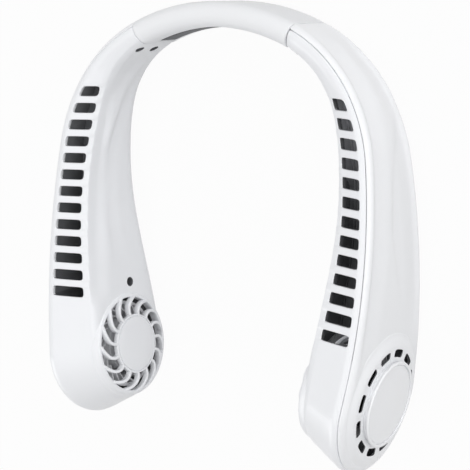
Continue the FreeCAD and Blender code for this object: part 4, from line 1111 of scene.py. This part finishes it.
def makeMedallion(side, name, body, node):
    m = medallionForm
    foot, edge, dish, base = m["foot"], m["top"], m["dish"], fanWidth + m["base"]
    top = base + m["height"]
    low = top - m["dishDepth"]
    profile = [
        (0, base), (foot - 0.6, base), (foot, base), (foot + 0.12, base + 0.5), (foot + 0.4, base + 1.1),
        (edge + 0.2, base + 1.6), (edge + 0.36, base + 1.9), (edge + 0.4, top - 0.6),
        (edge + 0.32, top - 0.36), (edge + 0.2, top - 0.16), (edge, top - 0.04), (edge - 0.3, top),
        (dish + 0.3, top), (dish + 0.1, top - 0.06), (dish + 0.02, top - 0.2), (dish, low - 0.4),
        (dish - 0.34, low - 0.4), (dish - 0.4, low - 0.05), (dish - 0.55, low), (dish - 1.2, low + 0.02),
        (12, low + 0.1), (6, low + 0.2), (0, low + 0.22),
    ]
    piece = tidyNormals(newPiece(name, *sided(*latheMesh(profile), side), "medallion"), m["sharp"])
    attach(piece, body)
    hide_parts(node)


for side, word, body, suffix in arms:
    makeMedallion(side, "medallion" + word, body, "medallion_" + suffix)
print("medallions made")


# bridge: sleeve, pad, spring strip and harness, between the two arms
bridgeForm = {
    "turn": 23.985, "endTurn": 0.12, "rows": 33, "endShares": (0.9, 0.4), "lip": 0.35, "bendInset": 0.4,
    "pocket": 1.1, "pocketEdge": 0.2, "pocketSlope": 1.6, "pocketMargin": 0.05,
}
padForm = {
    "turn": 22.35, "top": 0.4, "bottom": -10.95, "gap": 0.12, "endGap": 0.1, "proud": 0.12, "crown": 0.2,
    "seat": 0.1, "edgeFall": 0.7, "roundAlong": 0.96, "roundAcross": 0.9, "sharp": 60,
    "across": (-1, -0.985, -0.94, -0.85, -0.6, -0.3, 0, 0.3, 0.6, 0.85, 0.94, 0.985, 1),
    "alongEnds": (0.94, 0.975, 0.992, 1), "alongMiddle": (0.88, 29),
}
bridgeCentre = form["bridgeBack"] - form["bridgeRadius"]


def bridgePoint(inset, turn, level):
    radius = form["bridgeRadius"] - inset
    angle = math.radians(turn)
    return [radius * math.sin(angle), bridgeCentre + radius * math.cos(angle), level]


def bendAcross(piece):
    innerRadius = form["bridgeRadius"] - form["bridgeThickness"]
    startX = innerRadius * math.sin(math.radians(form["bridgeTurn"])) - bridgeForm["bendInset"]
    middle = toFrame([[0, hingeInArm, 0]])[0]
    -startX / 1000
    startX / 1000
    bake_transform(piece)


def sleeveLoop():
    # closed section from the outer face over the top to the inner face and back below
    lip, loop = bridgeForm["lip"], []
    for sign, word, padEdge in ((1, "upper", padForm["top"]), (-1, "lower", -padForm["bottom"])):
        crest, drop = form[word + "Depth"], form[word + "Drop"]
        path = halfSection(form["bridgeThickness"], crest, drop, form["innerRounding"])
        lengths = pathLengths(path)
        edge = lengths[-1] - padEdge
        keys = [0.0, lengths[1], lengths[outEnd], lengths[outEnd + 1], lengths[inEnd]]
        counts = [3, 5, 2, 4]
        if edge - lip > lengths[inEnd]:
            keys.append(edge - lip)
            counts.append(1)
        half = columnsBetween(path, keys + [edge, edge + lip, lengths[-1]], counts + [1, 1, 3]) * (1, sign)
        loop += list(half[:-1]) if sign > 0 else list(half[:0:-1])
    return loop


def makeSleeve():
    b, p, width = bridgeForm, padForm, form["bridgeThickness"]
    loop = sleeveLoop()
    middle, count = np.mean(np.array(loop), axis=0), len(loop)
    ends = [b["turn"], b["turn"] - b["endTurn"]]
    ends += [p["turn"] + b["pocketEdge"], p["turn"], p["turn"] - b["pocketEdge"]]
    inner, margin = p["turn"] - b["pocketSlope"], b["pocketMargin"]
    turns = [-turn for turn in ends] + list(np.linspace(-inner, inner, b["rows"])) + ends[::-1]
    loops = []
    for turn in turns:
        ring = []
        for inset, level in loop:
            inPocket = inset > width - 1e-3 and p["bottom"] + margin < level < p["top"] - margin
            inPocket = inPocket and abs(turn) < p["turn"] - margin
            ring.append(bridgePoint(inset - (b["pocket"] if inPocket else 0), turn, level))
        loops.append(ring)
    verts, faces = loopStack(loops, capped=False)
    for first, turn in ((0, turns[0]), (len(verts) - count, turns[-1])):
        rim = list(range(first, first + count))
        for share in b["endShares"]:
            ring = list(range(len(verts), len(verts) + count))
            smaller = middle + (np.array(loop) - middle) * share
            verts += [bridgePoint(inset, turn, level) for inset, level in smaller]
            faces += [(rim[step - 1], rim[step], ring[step], ring[step - 1]) for step in range(count)]
            rim = ring
        faces.append(tuple(rim))
    sleeve = tidyNormals(newPiece("bridgeSleeve", toFrame(verts), faces, "sleeve"))
    smoothed(sleeve)
    freeze(sleeve)
    bendAcross(sleeve)
    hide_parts("bridge_sleeve")


def roundOff(value, edge):
    return math.sqrt(max(0.0, 1 - ((abs(value) - edge) / (1 - edge)) ** 2)) if abs(value) > edge else 1.0


def makePad():
    # a soft inlay: crowned face, pulled in at its rounded edge, seated in the sleeve's pocket
    p, width = padForm, form["bridgeThickness"]
    halfTurn = p["turn"] - math.degrees(p["gap"] / form["bridgeRadius"]) - p["endGap"]
    top, bottom = p["top"] - p["gap"], p["bottom"] + p["gap"]
    middle, half = (top + bottom) / 2, (top - bottom) / 2
    across, ends, (reach, steps) = p["across"], np.array(p["alongEnds"]), p["alongMiddle"]
    along = np.concatenate((-ends[::-1], np.linspace(-reach, reach, steps), ends))
    face, back = [], []
    for step in along:
        for side in across:
            fall = roundOff(step, p["roundAlong"]) * roundOff(side, p["roundAcross"])
            lift = p["proud"] + p["crown"] * (1 - step ** 2) * (1 - side ** 2) - (1 - fall) * p["edgeFall"]
            turn, level = step * halfTurn, middle + side * half
            face.append(bridgePoint(width + lift, turn, level))
            back.append(bridgePoint(width - bridgeForm["pocket"] + p["seat"], turn, level))
    rows, columns = len(along), len(across)
    shift = rows * columns
    faces = []
    for base in (0, shift):
        for row in range(rows - 1):
            for start in range(base + row * columns, base + (row + 1) * columns - 1):
                faces.append((start, start + 1, start + columns + 1, start + columns))
    border = list(range(columns)) + [row * columns + columns - 1 for row in range(1, rows)]
    border += [(rows - 1) * columns + column for column in range(columns - 2, -1, -1)]
    border += [row * columns for row in range(rows - 2, 0, -1)]
    for here, after in zip(border, border[1:] + border[:1]):
        faces.append((here, after, after + shift, here + shift))
    pad = tidyNormals(newPiece("neckPad", toFrame(face + back), faces, "pad"))
    smoothed(pad)
    freeze(pad, p["sharp"])
    bendAcross(pad)
    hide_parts("neck_pad")


spineForm = {
    "inset": 4.4, "half": 2.6, "thick": 0.8, "flat": 0.94, "bevel": 0.6, "reach": 9.2, "rows": 49, "sharp": 40,
}
harnessForm = {"inset": 7.3, "radius": 1.1, "reach": 12.0, "rows": 61, "sharp": 40}


def sweptBar(name, loop, bar, finish):
    # a bar of given section, as distances in and levels, bent along the bridge
    halfTurn = form["bridgeTurn"] + bar["reach"]
    loops = []
    for turn in np.linspace(-halfTurn, halfTurn, bar["rows"]):
        loops.append([bridgePoint(bar["inset"] + inward, turn, level) for inward, level in loop])
    verts, faces = loopStack(loops)
    piece = tidyNormals(newPiece(name, toFrame(verts), faces, finish), bar["sharp"])
    bendAcross(piece)
    return piece


makeSleeve()
makePad()
thick, half = spineForm["thick"] / 2, spineForm["half"]
flat, bevel = spineForm["flat"] * half, spineForm["bevel"] * thick
spineLoop = [(-thick, -flat), (-bevel, -half), (bevel, -half), (thick, -flat), (thick, 0),
             (thick, flat), (bevel, half), (-bevel, half), (-thick, flat), (-thick, 0)]
spine = sweptBar("spineStrip", spineLoop, spineForm, "spine")
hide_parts("spine_strip")
harness = sweptBar("wiringHarness", circleLoop(harnessForm["radius"]), harnessForm, "wire")
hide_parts("wiring_harness")
print("bridge made")


# power button: a crowned pill on a flange, with its stem
capForm = {
    "length": 10.9, "width": 5.9, "proud": 0.8, "crown": 0.12, "flange": 1.0, "seat": 2.5, "flangeThick": 0.8,
    "stem": 1.4, "stemFoot": 3.77, "sharp": 40,
}
tongueForm = {
    "halfWidth": 3.3, "halfThick": 0.35, "chamfer": 0.1, "sharp": 40,
    "sections": ((0.0, -6.3), (0.0, -1.3), (0.12, -1.0)),
}


def makeButton():
    c = capForm
    seat, proud, wider = -c["seat"], c["proud"], 2 * c["flange"]
    profile = [(0.0, seat), (0.0, proud - 0.55), (0.06, proud - 0.28), (0.24, proud - 0.08), (0.6, proud),
               (1.4, proud - 0.03), (2.2, proud - c["crown"])]
    cap = [(pillLoop(c["length"] - 2 * shrink, c["width"] - 2 * shrink), level) for shrink, level in profile]
    flange, stem = pillLoop(c["length"] + wider, c["width"] + wider), circleLoop(c["stem"])
    parts = {
        "cap": cap,
        "flange": [(flange, seat - c["flangeThick"]), (flange, seat)],
        "stem": [(stem, -c["stemFoot"]), (stem, seat)],
    }
    pieces = []
    for name, sections in parts.items():
        pieces.append(tidyNormals(newPiece(name, *loopStack(panelLoops(sections)), "button"), c["sharp"]))
    button = joinPieces("powerButton", pieces)
    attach(button, "button")
    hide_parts("power_button")


def makeTongue():
    # the contact tongue inside the charging socket
    t = tongueForm
    sections = []
    for shrink, level in t["sections"]:
        x, y, cut = t["halfWidth"] - shrink, t["halfThick"] - shrink, t["chamfer"]
        shape = [(x, y - cut), (x - cut, y), (cut - x, y), (-x, y - cut),
                 (-x, cut - y), (cut - x, -y), (x - cut, -y), (x, cut - y)]
        sections.append((shape, level))
    tongue = tidyNormals(newPiece("socketTongue", *loopStack(socketLoops(sections)), "dark"), t["sharp"])
    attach(tongue, "left_arm")


makeButton()
makeTongue()
print("button and socket made")


# finishes of the CAD nodes that stay
nodeFinishes = {
    "air_duct": "duct", "impeller": "grey", "rotor_can": "rotor", "rotor_magnet": "magnet",
    "motor_shaft": "shaft", "stator_core": "stator", "stator_windings": "copper", "motor_base": "dark",
    "shaft_bush": "bush", "motor_screws": "screw", "case_screws": "screw", "battery_cell": "wrap",
    "spine_anchor": "dark", "control_board": "board", "tact_switch": "dark", "status_lights": "light",
    "usb_socket": "socket",
}
for name, node in nodes.items():
    base = name.removesuffix("_right").removesuffix("_left")
    if base in nodeFinishes:
        node.data.materials.clear()
        node.data.materials.append(looks[nodeFinishes[base]].material)


# camera, floor and light
cameraForm = {       # in the arm's own frame, as solved from the photograph
    "place": (326.64, 94.27, 459.03), "focal": 1251.9, "pixels": 470, "sensor": 36.0, "clip": 0.01,
    "right": (0.82026, -0.00485, -0.57197), "up": (-0.10559, 0.98149, -0.15976),
    "back": (0.56216, 0.19144, 0.80456),
}
cameraData = bpy.data.cameras.new("camera")
camera = bpy.data.objects.new("camera", cameraData)
bpy.context.scene.collection.objects.link(camera)
view = Matrix([turned(cameraForm[name]) for name in ("right", "up", "back")]).transposed().to_4x4()
view.translation = Vector(toFrame([cameraForm["place"]])[0])
camera.matrix_world = view
cameraData.sensor_width = cameraForm["sensor"]
cameraData.lens = cameraForm["sensor"] * cameraForm["focal"] / cameraForm["pixels"]
cameraData.clip_start = cameraForm["clip"]
bpy.context.scene.camera = camera

floorForm = {
    "half": 3.0, "level": -0.0002, "seen": 0.96, "roughness": 0.9,
    "colour": (0.56, 0.56, 0.565), "tint": (0.54, 0.54, 0.545),
}


def floorLook():
    # pale floor: white to the camera and to reflections, with the shadow kept as a soft share
    look = Look("paleFloor")
    cloud = look.noise(3, 2)
    look.set(Base_Color=look.mix(cloud, floorForm["colour"], floorForm["tint"]))
    look.set(Roughness=floorForm["roughness"])
    glow = look.node("ShaderNodeEmission", None, {"Color": (1.0, 1.0, 1.0), "Strength": 1.0})
    rays = look.tree.nodes.new("ShaderNodeLightPath")
    seen = Val(look, rays.outputs["Is Camera Ray"]) + Val(look, rays.outputs["Is Glossy Ray"])
    seen = (seen + Val(look, rays.outputs["Is Transmission Ray"])).clamp(0.0, 1.0) * floorForm["seen"]
    body = Val(look, look.shader.outputs[0])
    mixed = look.node("ShaderNodeMixShader", None, {0: seen, 1: body, 2: glow})
    look.tree.links.new(mixed.socket, look.tree.nodes["Material Output"].inputs[0])
    return look


looks["floor"] = floorLook()
floorCorners = [(x * floorForm["half"], y * floorForm["half"], floorForm["level"])
                for x, y in ((-1, -1), (1, -1), (1, 1), (-1, 1))]
floor = newPiece("floor", floorCorners, [(0, 1, 2, 3)], "floor")

lightForm = {
    "top": {"place": (0.10, 0.10, 1.30), "size": 1.2, "power": 4.2},
    "side": {"place": (1.22, 0.35, 0.72), "size": 0.9, "power": 7.3},
    "front": {"place": (-1.15, -0.75, 0.85), "size": 1.0, "power": 7.9},
    "back": {"place": (0.45, 1.25, 0.70), "size": 1.0, "power": 5.0},
}
lightTarget = Vector((0, 0, 0.03))
for name, lamp in lightForm.items():
    data = bpy.data.lights.new(name + "Lamp", "AREA")
    data.shape, data.size, data.energy = "SQUARE", lamp["size"], lamp["power"]
    item = bpy.data.objects.new(name + "Lamp", data)
    item.location = lamp["place"]
    item.rotation_euler = (lightTarget - Vector(lamp["place"])).to_track_quat("-Z", "Y").to_euler()
    bpy.context.scene.collection.objects.link(item)

worldForm = {"colour": (1.0, 1.0, 1.0, 1), "asLight": 0.40, "seen": 1.0}
world = bpy.data.worlds.new("studio")
bpy.context.scene.world = world
world.use_nodes = True
tree = world.node_tree
background = tree.nodes["Background"]
background.inputs["Color"].default_value = worldForm["colour"]
rays = tree.nodes.new("ShaderNodeLightPath")
level = tree.nodes.new("ShaderNodeMapRange")      # white to camera and reflections, softer as a light
level.inputs["To Min"].default_value = worldForm["asLight"]
level.inputs["To Max"].default_value = worldForm["seen"]
total = rays.outputs["Is Camera Ray"]
for kind in ("Is Glossy Ray", "Is Transmission Ray"):
    adder = tree.nodes.new("ShaderNodeMath")
    adder.use_clamp = True
    tree.links.new(total, adder.inputs[0])
    tree.links.new(rays.outputs[kind], adder.inputs[1])
    total = adder.outputs[0]
tree.links.new(total, level.inputs["Value"])
tree.links.new(level.outputs["Result"], background.inputs["Strength"])
bpy.context.scene.view_settings.view_transform = "Standard"
print("camera, floor and light set")
